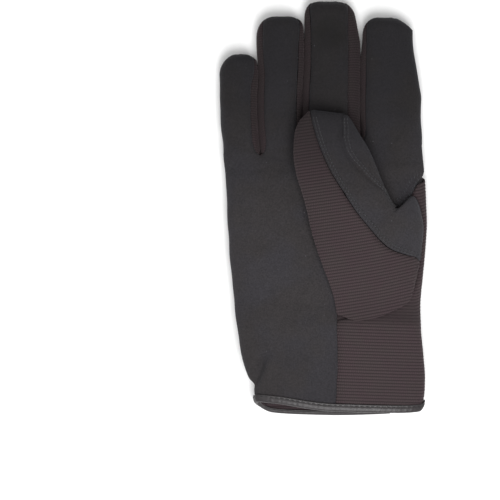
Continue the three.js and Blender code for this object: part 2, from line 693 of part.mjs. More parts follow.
// Strip between two neighbouring fingers: down the side of one, round the crotch and up the other.
function fourchette(index) {
  const panel = new Panel();
  const tuck = clothWall + 3 * seamGap;
  const surface = (row, col) => {
    const isFirst = row <= 1;
    const along = isFirst ? row : 2 - row;
    const finger = isFirst ? index : index + 1;
    const side = isFirst ? 1 : -1;
    const startY = fingers[finger].length - fourchetteStart;
    const palmY = lerp(startY, palmRoots[index + 1], along);
    const backY = lerp(startY, backRoots[index + 1], along);
    const midY = lerp(startY, (palmRoots[index + 1] + backRoots[index + 1]) / 2, along);
    const palmPlace = seamPlace(finger, side, palmY, palmRoots[index + 1], true);
    const backPlace = seamPlace(finger, side, backY, backRoots[index + 1], false);
    const high = sectionPoint(fingerSection(finger, palmY, true), palmPlace, palmY);
    const backTurn = side > 0 ? 2 - backPlace : -2 - backPlace;
    const low = sectionPoint(fingerSection(finger, backY, false), backTurn, backY);
    const section = fingerSection(finger, midY, true);
    const edge = side > 0 ? section.right : section.left;
    const groove = sideCurves[index + 1](midY / middleLength) * palmBreadth;
    const middleX = along > 0.8 ? lerp(edge, groove, (along - 0.8) / 0.2) : edge;
    const turn = col * Math.PI / 2;
    const out = Math.abs(Math.cos(turn));
    const end = col < 0 ? high : low;
    const highZ = Math.max(high.z - tuck, fingerMid + 1);
    const lowZ = Math.min(low.z + tuck, fingerMid - 1);
    const endZ = col < 0 ? highZ : lowZ;
    const y = col < 0 ? lerp(midY, palmY, Math.abs(Math.sin(turn))) : lerp(midY, backY, Math.sin(turn));
    return new THREE.Vector3(
      lerp(end.x, middleX, out),
      y,
      lerp(fingerMid, endZ, Math.abs(Math.sin(turn))),
    );
  };
  const rows = [0, 0.1, 0.25, 0.45, 0.65, 0.82, 0.92, 1, 1.08, 1.18, 1.35, 1.55, 1.75, 1.9, 2];
  panel.patch(rows, steps(-1, 1, 6), surface);
  return panel.geometry(clothWall);
}

// Thumb surface: place -1 is its left side, 1 its right side, past 1 the underside on the palm.
const thumb = Object.fromEntries(Object.keys(thumbRows[0]).filter((name) => name !== 'row')
  .map((name) => [name, column(thumbRows, 'row', name)]));
const sagAcross = column(baseSag, 'along', 'across');
const sagDown = column(baseSag, 'along', 'down');

const planPoint = (across, down) => new THREE.Vector2(handX(across, down), -down * handLength);

// Height of the palm side at a point in plan, level over the roots of the fingers.
function coverHeight(plan) {
  const section = handSection(plan.y);
  const place = placeOf(section, clamp(plan.x, section.centre - section.halfLeft,
    section.centre + section.halfRight), true);
  return sectionPoint(section, place, plan.y).z;
}

const edgeStand = clothWall + seamGap;
const underStand = 2.6 * seamGap;
const lastUnderRow = baseRow - 1;

// Where the seam between the two sides of the thumb lies across a row: -1 is left, 1 is right.
function thumbSeamAcross(row) {
  const left = planPoint(thumb.leftX(row), thumb.leftD(row));
  const seam = planPoint(thumb.seamX(row), thumb.seamD(row));
  const right = planPoint(thumb.rightX(row), thumb.rightD(row));
  const leftSpan = left.distanceTo(seam);
  return 2 * leftSpan / (leftSpan + seam.distanceTo(right)) - 1;
}

function thumbPoint(row, place) {
  const left = planPoint(thumb.leftX(row), thumb.leftD(row));
  const seam = planPoint(thumb.seamX(row), thumb.seamD(row));
  const right = planPoint(thumb.rightX(row), thumb.rightD(row));
  const seamE = thumbSeamAcross(row);
  const turn = place * Math.PI / 2;
  const closing = circleRise(row, tipRows);
  const leftRise = Math.max(thumb.leftRise(row) * thumbThickness, edgeStand);
  const rightRise = Math.max(thumb.rightRise(row) * thumbThickness, edgeStand);
  const crest = Math.max(thumb.crest(row) * thumbThickness, edgeStand);
  const isTop = Math.abs(place) <= 1;
  const tipSplit = seamGap * Math.max(1 - row, 0);
  const e = signedPower(Math.sin(turn), isTop ? roundTop : roundBottom);
  const edgeRise = lerp(leftRise, rightRise, (e + 1) / 2);
  let plan;
  if (isTop) {
    plan = e < seamE
      ? left.clone().lerp(seam, (e + 1) / (seamE + 1))
      : seam.clone().lerp(right, (e - seamE) / Math.max(1 - seamE, 1e-4));
    const share = (e + 1) / (seamE + 1);
    if (e < seamE && row > crotchRow) {
      const grow = ((row - crotchRow) / (baseRow - crotchRow)) ** 2;
      plan.x += sagAcross(share) * breadthAt(0.6) * grow;
      plan.y -= sagDown(share) * handLength * grow;
    }
    const w = Math.abs(Math.cos(turn)) ** roundTop * closing;
    const height = edgeRise + (crest - edgeRise) * w + tipSplit;
    return new THREE.Vector3(plan.x, plan.y, coverHeight(plan) + height);
  }
  const reach = clamp((row - crotchRow) / (lastUnderRow - crotchRow), 0, 1);
  const crotch = planPoint(thumb.rightX(crotchRow), thumb.rightD(crotchRow));
  const leftEnd = planPoint(thumb.leftX(lastUnderRow), thumb.leftD(lastUnderRow));
  const under = row <= crotchRow ? right : crotch.clone().lerp(leftEnd, reach);
  plan = left.clone().lerp(under, (e + 1) / 2);
  const w = Math.abs(Math.cos(turn)) ** roundBottom * closing;
  const height = edgeRise + (underStand - edgeRise) * w - tipSplit;
  return new THREE.Vector3(plan.x, plan.y, coverHeight(plan) + height);
}

const thumbTipNormal = (row, normal) => {
  const flat = 1 - smoothstep(row, 0, 0.35);
  return normal.set(normal.x, normal.y, normal.z * (1 - flat)).normalize();
};

function thumbSeamPlace(row) {
  return Math.asin(signedPower(thumbSeamAcross(row), 1 / roundTop)) * 2 / Math.PI;
}

// Half the gap between the two sides of the thumb along their seam, wider at the very tip
const seamStep = (row) => 0.016 + 0.03 * Math.max(1 - row, 0);

// How far the two sides of the thumb turn under it, and the rows where its front side ends
const backWrap = 0.14;
const frontWrap = 0.22;
const topEndRow = 11.8;
const underEndRow = 9;
const thumbTipRows = [0, 0.1, 0.3, 0.6, 1, 1.5];

function thumbBack() {
  const panel = new Panel();
  const surface = (row, share) => {
    const wrap = 1 + backWrap * smoothstep(lastUnderRow - row, 0, 3);
    return thumbPoint(row, lerp(-wrap, thumbSeamPlace(row) - seamStep(row), share));
  };
  const rows = [...thumbTipRows, ...steps(2, baseRow, baseRow - 2)];
  panel.patch(rows, steps(0, 1, 8), surface, (point, normal, row) => thumbTipNormal(row, normal));
  return panel.geometry(clothWall);
}

function thumbFront() {
  const panel = new Panel();
  const rows = [...thumbTipRows, ...steps(2, crotchRow, crotchRow - 2)];
  const columns = [0, 0.25, 0.5, 0.75, 1];
  const underColumns = [0, 0.1, 0.2, 0.3, 0.42, 0.58, 0.7, 0.8, 0.9, 1];
  const top = (row, share) => thumbPoint(row, lerp(thumbSeamPlace(row) + seamStep(row), 1, share));
  const under = (row, share) => {
    const end = 3 - frontWrap * smoothstep(lastUnderRow - row, 0, 3);
    return thumbPoint(row, lerp(1, end, share));
  };
  const tune = (point, normal, row) => thumbTipNormal(row, normal);
  panel.patch([...rows, ...steps(crotchRow + 0.5, topEndRow, 6)], columns, top, tune);
  panel.patch([...rows, ...steps(crotchRow + 0.5, underEndRow, 3)], underColumns, under, tune);
  return panel.geometry(clothWall);
}

// Second layer of suede on the side of the thumb that faces the index finger
const patchWrap = 1.12;

function thumbPatch() {
  const panel = new Panel();
  const surface = (row, share) => {
    const seam = thumbSeamPlace(row);
    const edge = lerp(seam, 1, (thumb.edgeX(row) - thumb.seamX(row))
      / (thumb.rightX(row) - thumb.seamX(row)));
    return thumbPoint(row, lerp(edge, patchWrap, share));
  };
  panel.patch([0.6, 1, 2, 3, 4, 5, 5.8], steps(0, 1, 3), surface);
  return panel.geometry(patchThickness, patchThickness + 1.5 * seamGap);
}

// Folded binding: a clip-shaped section that wraps the edge of a wall.
function clipSection(wall, skin, lap, nose) {
  const outer = seamGap + skin;
  const corner = skin * 0.8;
  return [
    [seamGap, -lap], [outer, -lap], [outer, nose - corner], [outer - corner, nose],
    [corner - wall - outer, nose], [-wall - outer, nose - corner], [-wall - outer, -lap],
    [-wall - seamGap, -lap], [-wall - seamGap, seamGap], [seamGap, seamGap],
  ].map(([away, out]) => new THREE.Vector2(away, out));
}

function sweep(frames, section) {
  const position = [];
  const index = [];
  const size = section.length;
  frames.forEach(({ origin, away, out }) => {
    section.forEach((corner) => {
      const point = origin.clone().addScaledVector(away, corner.x).addScaledVector(out, corner.y);
      position.push(...point.toArray());
    });
  });
  for (let i = 0; i < frames.length - 1; i += 1) {
    for (let j = 0; j < size; j += 1) {
      const a = i * size + j;
      const b = i * size + ((j + 1) % size);
      index.push(a, b, b + size, a, b + size, a + size);
    }
  }
  const cap = THREE.ShapeUtils.triangulateShape(section, []);
  const isClockwise = THREE.ShapeUtils.isClockWise(section);
  const end = (frames.length - 1) * size;
  cap.forEach(([a, b, c]) => {
    const [p, q] = isClockwise ? [b, c] : [c, b];
    index.push(a, p, q, end + a, end + q, end + p);
  });
  const geometry = new THREE.BufferGeometry();
  geometry.setAttribute('position', new THREE.Float32BufferAttribute(position, 3));
  geometry.setIndex(index);
  return geometry;
}

// Turns a closed mesh so that its faces point out.
function faceOut(geometry) {
  const position = geometry.getAttribute('position');
  const index = geometry.getIndex().array;
  const [a, b, c] = [new THREE.Vector3(), new THREE.Vector3(), new THREE.Vector3()];
  let volume = 0;
  for (let i = 0; i < index.length; i += 3) {
    a.fromBufferAttribute(position, index[i]);
    b.fromBufferAttribute(position, index[i + 1]);
    c.fromBufferAttribute(position, index[i + 2]);
    volume += a.dot(b.cross(c));
  }
  if (volume < 0) {
    for (let i = 0; i < index.length; i += 3) {
      [index[i + 1], index[i + 2]] = [index[i + 2], index[i + 1]];
    }
  }
  return geometry;
}

function hemFrame(place) {
  const part = place >= 1 ? 'side' : 'main';
  const down = hemDown(signedPlace(place));
  const at = (p, d) => handPoint(signedPlace(p), d, part);
  const origin = at(place, down);
  const out = at(place, down).sub(at(place, down - hemLap / handLength)).normalize();
  const around = at(place + 0.01, down).sub(at(place - 0.01, down));
  const away = out.clone().cross(around).normalize();
  return { origin, away, out };
}

const slitHemPlace = 1.5;

function slitPlaceAtHem(offset, part) {
  const down = hemDown(slitHemPlace);
  const x = handX(slitAcross(1), down) + offset;
  return placeOf(handSection(-down * handLength, part), x, false);
}

function hemBinding() {
  const start = slitPlaceAtHem(slitBindingLap + 2 * seamGap, 'side');
  const end = slitPlaceAtHem(-slitWidth - hemLap - seamGap, 'main') - 4;
  const flap = flapColumns.map((share) => lerp(flapStart, wrapBack, share));
  const front = steps(0, palm.last, palm.last).map(palm.hemPlace);
  const backs = steps(slitColumn + 1, back.last, back.last - slitColumn - 1)
    .map((col) => back.hemPlace(col) - 4);
  const corners = [start, ...flap.reverse(), ...front.reverse(), ...backs.reverse(), end]
    .filter((place) => place <= start && place >= end);
  return faceOut(sweep(corners.map(hemFrame), clipSection(clothWall, hemSkin, hemLap, hemNose)));
}

function slitFrame(row) {
  const at = (r, c) => back.point(Math.min(r, hemRow), c, true);
  const origin = at(row, slitColumn);
  const out = at(row, slitColumn).sub(at(row, slitColumn - 0.1)).normalize();
  const along = at(row + 0.05, slitColumn).sub(at(row - 0.05, slitColumn));
  const away = along.cross(out).normalize();
  return { origin, away, out };
}

function slitBinding() {
  const section = clipSection(clothWall, hemSkin, slitBindingLap, slitWidth - seamGap);
  return faceOut(sweep(steps(slitTopRow + 1, hemRow, 9).map(slitFrame), section));
}

const tabCorner = 0.72;

// Strap tab: outline of its core in plan, from the slit round its end and back to the slit.
function strapOutline() {
  const middle = -strapMiddle * handLength;
  const half = strapWidth / 2 - bindingNose;
  const mouth = (y) => handX(slitAcross(downOf(y)), downOf(y)) - slitWidth - seamGap;
  const outline = [];
  const axis = new THREE.Vector2(-Math.cos(strapTilt), -Math.sin(strapTilt));
  const across = new THREE.Vector2(axis.y, -axis.x);
  const root = new THREE.Vector2(mouth(middle), middle);
  const corner = tabCorner * half;
  const at = (along, out) => root.clone().addScaledVector(axis, along).addScaledVector(across, out);
  const reach = strapLength - bindingNose;
  const endOn = (side) => {
    const edge = at(0, side * half);
    edge.x = Math.min(mouth(edge.y), mouth(edge.y - side * bindingLap)) - seamGap;
    return edge;
  };
  outline.push(endOn(1));
  outline.push(...steps(0.25, 1, 3).map((t) => at((reach - corner) * t, half)));
  const bend = reach - corner;
  const flank = half - corner;
  const quarter = Math.PI / 2;
  outline.push(...steps(0.2, 1, 4).map((t) => at(
    bend + corner * Math.sin(t * quarter), flank + corner * Math.cos(t * quarter))));
  outline.push(...steps(0, 1, 5).map((t) => at(
    bend + corner * Math.cos(t * quarter), -flank - corner * Math.sin(t * quarter))));
  outline.push(...steps(0.75, 0.25, 2).map((t) => at((reach - corner) * t, -half)));
  outline.push(endOn(-1));
  const [first, last] = [outline[0], outline[outline.length - 1]];
  const mouthLine = steps(0.15, 0.85, 4).map((t) => {
    const y = lerp(last.y, first.y, t);
    return new THREE.Vector2(mouth(y) - seamGap, y);
  });
  return { path: outline, core: [...outline, ...mouthLine] };
}

const { path: strapPath, core: strapCore } = strapOutline();
const strapBottom = bindingSkin + seamGap;

function plate(points, bottom, thickness) {
  const corners = points.filter((point, i) => {
    const before = points[(i + points.length - 1) % points.length];
    const after = points[(i + 1) % points.length];
    return Math.abs(point.clone().sub(before).cross(after.clone().sub(point))) > 0.05;
  });
  const shape = new THREE.Shape(corners);
  const geometry = new THREE.ExtrudeGeometry(shape, { depth: thickness, bevelEnabled: false });
  geometry.deleteAttribute('normal');
  geometry.deleteAttribute('uv');
  geometry.translate(0, 0, bottom);
  return mergeVertices(geometry, 1e-4);
}

function strapBinding() {
  const up = new THREE.Vector3(0, 0, 1);
  const top = strapBottom + strapThickness;
  const centre = strapPath.reduce((sum, point) => sum.add(point), new THREE.Vector2())
    .divideScalar(strapPath.length);
  const frames = strapPath.map((point, i) => {
    const before = strapPath[Math.max(i - 1, 0)];
    const after = strapPath[Math.min(i + 1, strapPath.length - 1)];
    const along = after.clone().sub(before).normalize();
    const out = new THREE.Vector2(along.y, -along.x);
    if (out.dot(point.clone().sub(centre)) < 0) {
      out.negate();
    }
    const origin = new THREE.Vector3(point.x, point.y, top);
    return { origin, away: up, out: new THREE.Vector3(out.x, out.y, 0) };
  });
  return faceOut(sweep(frames, clipSection(strapThickness, bindingSkin, bindingLap, bindingNose)));
}

// Pad of the hidden fastening, between the tab and the back of the hand
function fastenerPad() {
  const centre = strapPath[0].clone().add(strapPath[strapPath.length - 1]).multiplyScalar(0.5);
  centre.x -= padShare * strapLength * Math.cos(strapTilt);
  centre.y -= padShare * strapLength * Math.sin(strapTilt);
  const turned = [[-1, -1], [1, -1], [1, 1], [-1, 1]].map(([a, b]) => new THREE.Vector2(
    a * padLength / 2, b * padWidth / 2).rotateAround(new THREE.Vector2(), strapTilt).add(centre));
  return plate(turned, strapBottom + strapThickness + seamGap, padThickness);
}

const suede = new THREE.MeshStandardMaterial({ color: 0x3d3b3c, roughness: 0.92, metalness: 0 });
const ribbed = new THREE.MeshStandardMaterial({ color: 0x463b3d, roughness: 0.88, metalness: 0 });
const glossy = new THREE.MeshStandardMaterial({ color: 0x4a4648, roughness: 0.38, metalness: 0 });

const pieces = [
  { name: 'palm_panel', material: suede, geometry: palmPanel() },
  { name: 'back_panel', material: ribbed, geometry: backPanel() },
  { name: 'ring_tip_cap', material: suede, geometry: tipCap(1) },
  { name: 'middle_tip_cap', material: suede, geometry: tipCap(2) },
  { name: 'index_tip_cap', material: suede, geometry: tipCap(3) },
  { name: 'fourchette_pinky_ring', material: ribbed, geometry: fourchette(0) },
  { name: 'fourchette_ring_middle', material: ribbed, geometry: fourchette(1) },
  { name: 'fourchette_middle_index', material: ribbed, geometry: fourchette(2) },
  { name: 'thumb_back', material: ribbed, geometry: thumbBack() },
  { name: 'thumb_front', material: suede, geometry: thumbFront() },
  { name: 'thumb_patch', material: suede, geometry: thumbPatch() },
  { name: 'hem_binding', material: glossy, geometry: hemBinding() },
  { name: 'slit_binding', material: glossy, geometry: slitBinding() },
  { name: 'wrist_strap', material: glossy, geometry: plate(strapCore, strapBottom, strapThickness) },
  { name: 'strap_binding', material: glossy, geometry: strapBinding() },
  { name: 'fastener_pad', material: ribbed, geometry: fastenerPad() },
];

const glove = new THREE.Group();
pieces.forEach(({ name, material, geometry }) => {
  const mesh = new THREE.Mesh(mergeVertices(geometry, 1e-5), material);
  mesh.name = name;
  glove.add(mesh);
});

// The origin is the middle of the underside.
const box = new THREE.Box3().setFromObject(glove);
const middle = box.getCenter(new THREE.Vector3());
glove.position.set(-middle.x, -middle.y, -box.min.z);

export default glove;
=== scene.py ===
# %% [markdown]
# # A mechanic's glove, lying palm up
# The part is a right-hand work glove: a suede palm with suede finger fronts, a ribbed stretch back,
# ribbed strips between the fingers, a thumb folded over the palm, and a bound wrist with a strap tab.
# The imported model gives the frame. Every soft panel is made again here at cloth scale, in the same
# place, with real ribs, seams, stitches and folds, because a smooth shell has none of them.

# %% Start
import math
import bpy
import bmesh
import numpy as np
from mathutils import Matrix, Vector


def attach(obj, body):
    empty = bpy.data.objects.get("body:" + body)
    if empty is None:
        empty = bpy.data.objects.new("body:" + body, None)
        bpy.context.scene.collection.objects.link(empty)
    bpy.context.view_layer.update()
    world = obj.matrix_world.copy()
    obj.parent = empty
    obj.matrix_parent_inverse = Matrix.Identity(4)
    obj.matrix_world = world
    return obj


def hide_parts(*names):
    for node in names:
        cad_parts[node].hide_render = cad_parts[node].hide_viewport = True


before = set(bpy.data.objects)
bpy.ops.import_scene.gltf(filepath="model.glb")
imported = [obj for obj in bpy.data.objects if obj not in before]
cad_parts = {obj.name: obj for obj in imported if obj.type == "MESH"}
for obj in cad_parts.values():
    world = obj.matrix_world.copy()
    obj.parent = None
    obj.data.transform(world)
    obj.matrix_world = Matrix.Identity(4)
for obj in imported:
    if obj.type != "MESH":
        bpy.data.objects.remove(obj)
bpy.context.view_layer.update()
print("frame:", len(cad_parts), "nodes")

# %% [markdown]
# ## The glove's own measures
# The panels are drawn with the same named sizes as the model, in millimetres. Shares of these sizes
# give the outline, so that each panel lies where its solid lies.

# %% Named sizes
PALM, WRIST, HAND, MIDDLE = 116, 98, 147.3, 86.4
THICK, FINGER_THICK, THUMB_THICK = 20, 14, 15
WALL, SEAM_GAP = 1.1, 0.35
CAP, BACK_CROTCH = 25, 12
STRAP = {"length": 56, "width": 38, "thick": 1.4, "middle": 0.832, "tilt": math.radians(7)}
BINDING = {"skin": 0.6, "lap": 3.2, "nose": 0.9}
HEM = {"skin": 0.8, "lap": 3, "nose": 1.7}
PAD_THICK = 0.9
STRAP_STACK = STRAP["thick"] + BINDING["skin"] + 2 * SEAM_GAP + PAD_THICK + SEAM_GAP
SIDE_FLOOR = HEM["skin"] + SEAM_GAP
FINGER_MID = 0.46 * FINGER_THICK
ROUND_TOP, ROUND_BOTTOM = 0.85, 0.6
# how far round the sides the palm and the back meet, as places of a section
WRAP_PALM, WRAP_BACK = 1.2, 1.32
# from the glove's own origin, at the roots of the fingers, to the origin of the frame
SHIFT = np.array([-0.5696, 33.8374, 0.0])

# one table for each side of the fingers, from the little finger's outer side on: up, across
FINGER_SIDES = [
    [(-.2, -.487), (0, -.494), (.1, -.5025), (.2, -.5075), (.34, -.512), (.47, -.5135), (.7, -.5135)],
    [(-.3, -.29), (0, -.31), (.13, -.3175), (.24, -.3225), (.37, -.3225), (.5, -.3175), (.62, -.3265),
     (.73, -.3305), (.95, -.33)],
    [(-.25, -.09), (0, -.0965), (.24, -.0975), (.4, -.096), (.6, -.0885), (.72, -.0885), (1.05, -.0925)],
    [(-.25, .206), (0, .197), (.27, .191), (.47, .1925), (.68, .195), (1.05, .196)],
    [(-.2, .509), (-.07, .505), (.07, .499), (.2, .4925), (.34, .494), (.42, .485), (.54, .475),
     (.68, .46), (.78, .455), (.9, .458)],
]
# pairs are for the left and the right side. corner: across, down and squareness of the rounded
# corner; taper: how much the tip narrows; seam: how far the seam stands in, and its share at the tip
FINGERS = [
    {"name": "pinky", "length": 55.6, "cap": False, "corner": ((10.5, 13, 2), (6.4, 4, 1.6)),
     "taper": (0, 0), "seam": (0, 3.7), "tip_seam": (1, .3), "palm_root": -.02, "back_root": -.03},
    {"name": "ring", "length": 77.5, "cap": True, "corner": ((9.5, 12, 2), (7, 7, 2)),
     "taper": (0, 0), "seam": (3.5, 2.9), "tip_seam": (1, .6), "palm_root": -.034, "back_root": -.03},
    {"name": "middle", "length": 86.4, "cap": True, "corner": ((7, 9.5, 2), (8, 9, 2)),
     "taper": (0, 4.6), "seam": (3.3, 7.2), "tip_seam": (.8, 1), "palm_root": .08, "back_root": .085},
    {"name": "index", "length": 77, "cap": True, "corner": ((8, 9.3, 2), (10.4, 7.5, 1.25)),
     "taper": (1.2, 0), "seam": (2.6, 0), "tip_seam": (1, 1), "palm_root": .06, "back_root": .065},
]
PALM_ROOTS = [f["palm_root"] * MIDDLE for f in FINGERS] + [.04 * MIDDLE]
BACK_ROOTS = [f["back_root"] * MIDDLE - BACK_CROTCH for f in FINGERS] + [-.02 * MIDDLE - BACK_CROTCH]
TAPER_LENGTH, TIP_ROUND = 24, 5.5

# columns: down, left, right
HAND_SIDES = np.array([
    (-.2, -.494, .49), (-.04, -.494, .4965), (.08, -.4925, .519), (.2, -.49, .537), (.32, -.4905, .5495),
    (.5, -.488, .549), (.6, -.483, .545), (.7, -.476, .554), (.8, -.462, .578), (.9, -.4265, .597),
    (.96, -.397, .599), (1.04, -.385, .584)])
# columns: down, middle, top
HAND_LEVELS = np.array([
    (-.2, .33, .72), (0, .36, .78), (.2, .43, .95), (.45, .46, 1.03), (.7, .42, .92), (.85, .38, .85),
    (1.06, .37, .8)])
# columns: round, down
HEM_LINE = np.array([
    (-2, 1.035), (-1.5, 1.024), (-1.15, .994), (-1, .986), (-.8, .98), (-.5, .986), (0, 1.016), (.5, 1.022),
    (.85, 1.018), (1, 1.002), (1.15, 1.008), (1.5, 1.024), (2, 1.035)])
# columns: row, left down, right down, right across
PALM_ROWS = np.array([
    (1, .06, .07, .517), (2, .13, .173, .4625), (3, .2, .236, .379), (4, .335, .335, .232),
    (5, .492, .465, .135), (6, .642, .638, .078), (7, .8, .787, .083), (8, .9, .9, .081),
    (9, .98, 1.01, .071)])
# columns: row, left down, right down, slit across, flap across, flap down
BACK_ROWS = np.array([
    (0, .09, .09, .36, .519, .095), (1, .12, .15, .366, .463, .184), (2, .18, .21, .37, .5086, .236),
    (3, .27, .3, .376, .532, .315), (4, .37, .4, .382, .533, .429), (5, .46, .48, .388, .519, .516),
    (6, .54, .55, .391, .462, .587), (7, .6, .61, .387, .333, .634), (8, .67, .67, .352, .156, .659),
    (9, .74, .73, .35, .0866, .677), (10, .81, .8, .358, .088, .768), (11, .9, .9, .378, .087, .886),
    (12, 1, 1, .47, .077, 1)])
SLIT_TOP_ROW, SLIT_WIDTH, SLIT_LAP = 7, 2.4, 3
# columns: row, left x, left d, seam x, seam d, right x, right d, crest, left rise, right rise
THUMB_ROWS = np.array([
    (0, -.081, -.138, -.062, -.1535, .108, -.142, .86, .42, .42),
    (1, -.1105, -.114, -.056, -.118, .1376, -.114, .9, .44, .44),
    (2, -.139, -.059, -.037, -.059, .1785, -.055, .96, .46, .46),
    (3, -.145, .008, -.0075, .008, .22, .004, 1, .48, .48),
    (4, -.134, .079, .033, .079, .263, .071, 1, .5, .48),
    (5, -.11, .161, .0974, .161, .318, .161, .98, .5, .46),
    (6, -.0806, .248, .174, .248, .362, .22, .92, .5, .4),
    (7, -.055, .331, .236, .303, .389, .232, .84, .5, .3),
    (8, -.0267, .402, .302, .358, .463, .181, .72, .46, .1),
    (9, .0054, .4646, .362, .392, .513, .248, .58, .38, .1),
    (10, .038, .5276, .443, .413, .533, .323, .42, .3, .1),
    (11, .063, .587, .508, .425, .531, .408, .25, .2, .1),
    (12, .079, .645, .5265, .441, .531, .436, .11, .1, .1)])
THUMB_NAMES = ["leftX", "leftD", "seamX", "seamD", "rightX", "rightD", "crest", "leftRise", "rightRise"]
CROTCH_ROW, BASE_ROW, TIP_ROWS = 7, 12, 1.3
# the rows from which the palm and the back run out to the hem, and the last row of the back
PALM_HEM_ROW, BACK_HEM_ROW, BACK_END_ROW = 8, 11, 12
# columns: along, across, down
BASE_SAG = np.array([(0, 0, 0), (.25, .01, .075), (.5, .03, .105), (.75, .045, .11), (1, 0, 0)])

# %% [markdown]
# ## Curves and sections
# A cloth outline has no wiggles between its marks, so each table is read through a smooth curve that
# never overshoots. A section round the hand or a finger is a flattened oval: place 0 is its top, 1 its
# right side, 2 its underside and -1 its left side.

# %% Curves through tables
def curve(xs, ys):
    xs, ys = np.asarray(xs, float), np.asarray(ys, float)
    slopes = np.diff(ys) / np.diff(xs)
    tangents = np.concatenate([slopes[:1], np.zeros(len(xs) - 2), slopes[-1:]])
    product = slopes[:-1] * slopes[1:]
    steady = product > 0
    tangents[1:-1][steady] = 2 * product[steady] / (slopes[:-1] + slopes[1:])[steady]

    def at(x):
        x = np.clip(x, xs[0], xs[-1])
        i = np.clip(np.searchsorted(xs, x, side="right") - 1, 0, len(xs) - 2)
        span = xs[i + 1] - xs[i]
        t = (x - xs[i]) / span
        return ((1 + 2 * t) * (1 - t) ** 2 * ys[i] + t * (1 - t) ** 2 * span * tangents[i]
                + t * t * (3 - 2 * t) * ys[i + 1] + t * t * (t - 1) * span * tangents[i + 1])
    return at


def lerp(a, b, t):
    return a + (b - a) * t


def smoothstep(x, low, high):
    t = np.clip((x - low) / (high - low), 0, 1)
    return t * t * (3 - 2 * t)


def signed_power(value, power):
    return np.sign(value) * np.abs(value) ** power


def circle_rise(distance, radius):
    return np.sqrt(1 - (1 - np.clip(distance / radius, 0, 1)) ** 2)


def corner_cut(distance, across, down, square):
    """How far a rounded corner stands back at a distance from its end. square 1 is a straight cut."""
    left = 1 - np.clip(distance / down, 0, 1)
    return across * (1 - (1 - left ** square) ** (1 / square))


side_curves = [curve(*zip(*table)) for table in FINGER_SIDES]
hand_left, hand_right = (curve(HAND_SIDES[:, 0], HAND_SIDES[:, k]) for k in (1, 2))
level_middle, level_top = (curve(HAND_LEVELS[:, 0], HAND_LEVELS[:, k]) for k in (1, 2))
hem_down = curve(HEM_LINE[:, 0], HEM_LINE[:, 1])
slit_across_down = curve(BACK_ROWS[:, 1], BACK_ROWS[:, 3])
print("curves:", len(side_curves), "finger sides")

# %% Sections
# shares of the hand's length between which it rises over the strap, and how far undersides sink
STRAP_RISE = (.58, .72)
HAND_SINK, FINGER_SINK = 1.2, .8
# in mm, the length over which the gap between two fingers opens
GAP_OPENS = 8
# how much a finger's root widens, and over which share of the middle finger's length
ROOT_WIDENS, ROOT_SHARE = .3, .35


class Section:
    def __init__(self, **values):
        self.__dict__.update(values)


def breadth_at(down):
    return lerp(PALM, WRIST, np.maximum(down, 0))


def hand_x(across, down):
    return across * breadth_at(down)


def signed_place(place):
    """The same place of a section, counted from -2 to 2."""
    place = np.where(place > 2, place - 4, place)
    return np.where(place < -2, place + 4, place)


def section_point(section, place, y):
    """The point of a section at a place round it."""
    place = signed_place(np.asarray(place, float))
    turn = place * np.pi / 2
    top = np.abs(place) <= 1
    power = np.where(top, ROUND_TOP, ROUND_BOTTOM)
    e = signed_power(np.sin(turn), power)
    w = np.abs(np.cos(turn)) ** power
    x = section.centre + np.where(e < 0, section.half_left, section.half_right) * e
    flat = section.floor - section.sink
    low = np.maximum(section.floor, section.middle - (section.middle - flat) * w)
    z = np.where(top, section.middle + (section.top - section.middle) * w, low)
    return np.stack(np.broadcast_arrays(x, y, z), -1)


def place_of(section, x, top):
    """The place round a section's top or underside that has this x."""
    half = np.where(x < section.centre, section.half_left, section.half_right)
    e = np.clip((x - section.centre) / half, -1, 1)
    turn = np.arcsin(signed_power(e, 1 / (ROUND_TOP if top else ROUND_BOTTOM))) * 2 / np.pi
    return turn if top else 2 - turn


def hand_section(y, side=False):
    """The section of the hand at y. side is the thumb side of the cuff, which has no strap under it."""
    down = -y / HAND
    left, right = hand_x(hand_left(down), down), hand_x(hand_right(down), down)
    rise = STRAP_STACK * smoothstep(down, *STRAP_RISE)
    half = (right - left) / 2
    return Section(centre=(left + right) / 2, half_left=half, half_right=half,
                   middle=rise + THICK * level_middle(down), top=rise + THICK * level_top(down),
                   floor=np.minimum(rise, SIDE_FLOOR) if side else rise, sink=HAND_SINK)


def finger_section(index, y, top=True):
    finger = FINGERS[index]
    distance = np.maximum(finger["length"] - y, 0)
    taper = np.maximum(1 - distance / TAPER_LENGTH, 0)
    roots = PALM_ROOTS if top else BACK_ROOTS
    gap_left = SEAM_GAP * np.clip((y - roots[index]) / GAP_OPENS, 0, 1) if index > 0 else 0
    gap_right = SEAM_GAP * np.clip((y - roots[index + 1]) / GAP_OPENS, 0, 1) if index < 3 else 0
    rounds = [corner_cut(distance, *corner) + narrow * taper
              for corner, narrow in zip(finger["corner"], finger["taper"])]
    left = side_curves[index](y / MIDDLE) * PALM + gap_left + rounds[0]
    right = side_curves[index + 1](y / MIDDLE) * PALM - gap_right - rounds[1]
    depth = y if top else y + BACK_CROTCH
    widen = 1 + ROOT_WIDENS * (1 - smoothstep(depth, 0, ROOT_SHARE * MIDDLE))
    half = (right - left) / 2
    closing = circle_rise(distance, TIP_ROUND)
    seam = SEAM_GAP / 2
    return Section(left=left, right=right, rounds=rounds, centre=(left + right) / 2,
                   half_left=half * (widen if index > 0 else 1),
                   half_right=half * (widen if index < 3 else 1),
                   middle=FINGER_MID + (seam if top else -seam),
                   top=FINGER_MID + seam + (FINGER_THICK - FINGER_MID - seam) * closing,
                   floor=(FINGER_MID - seam) * (1 - closing), sink=FINGER_SINK * closing)


print("sections ready")

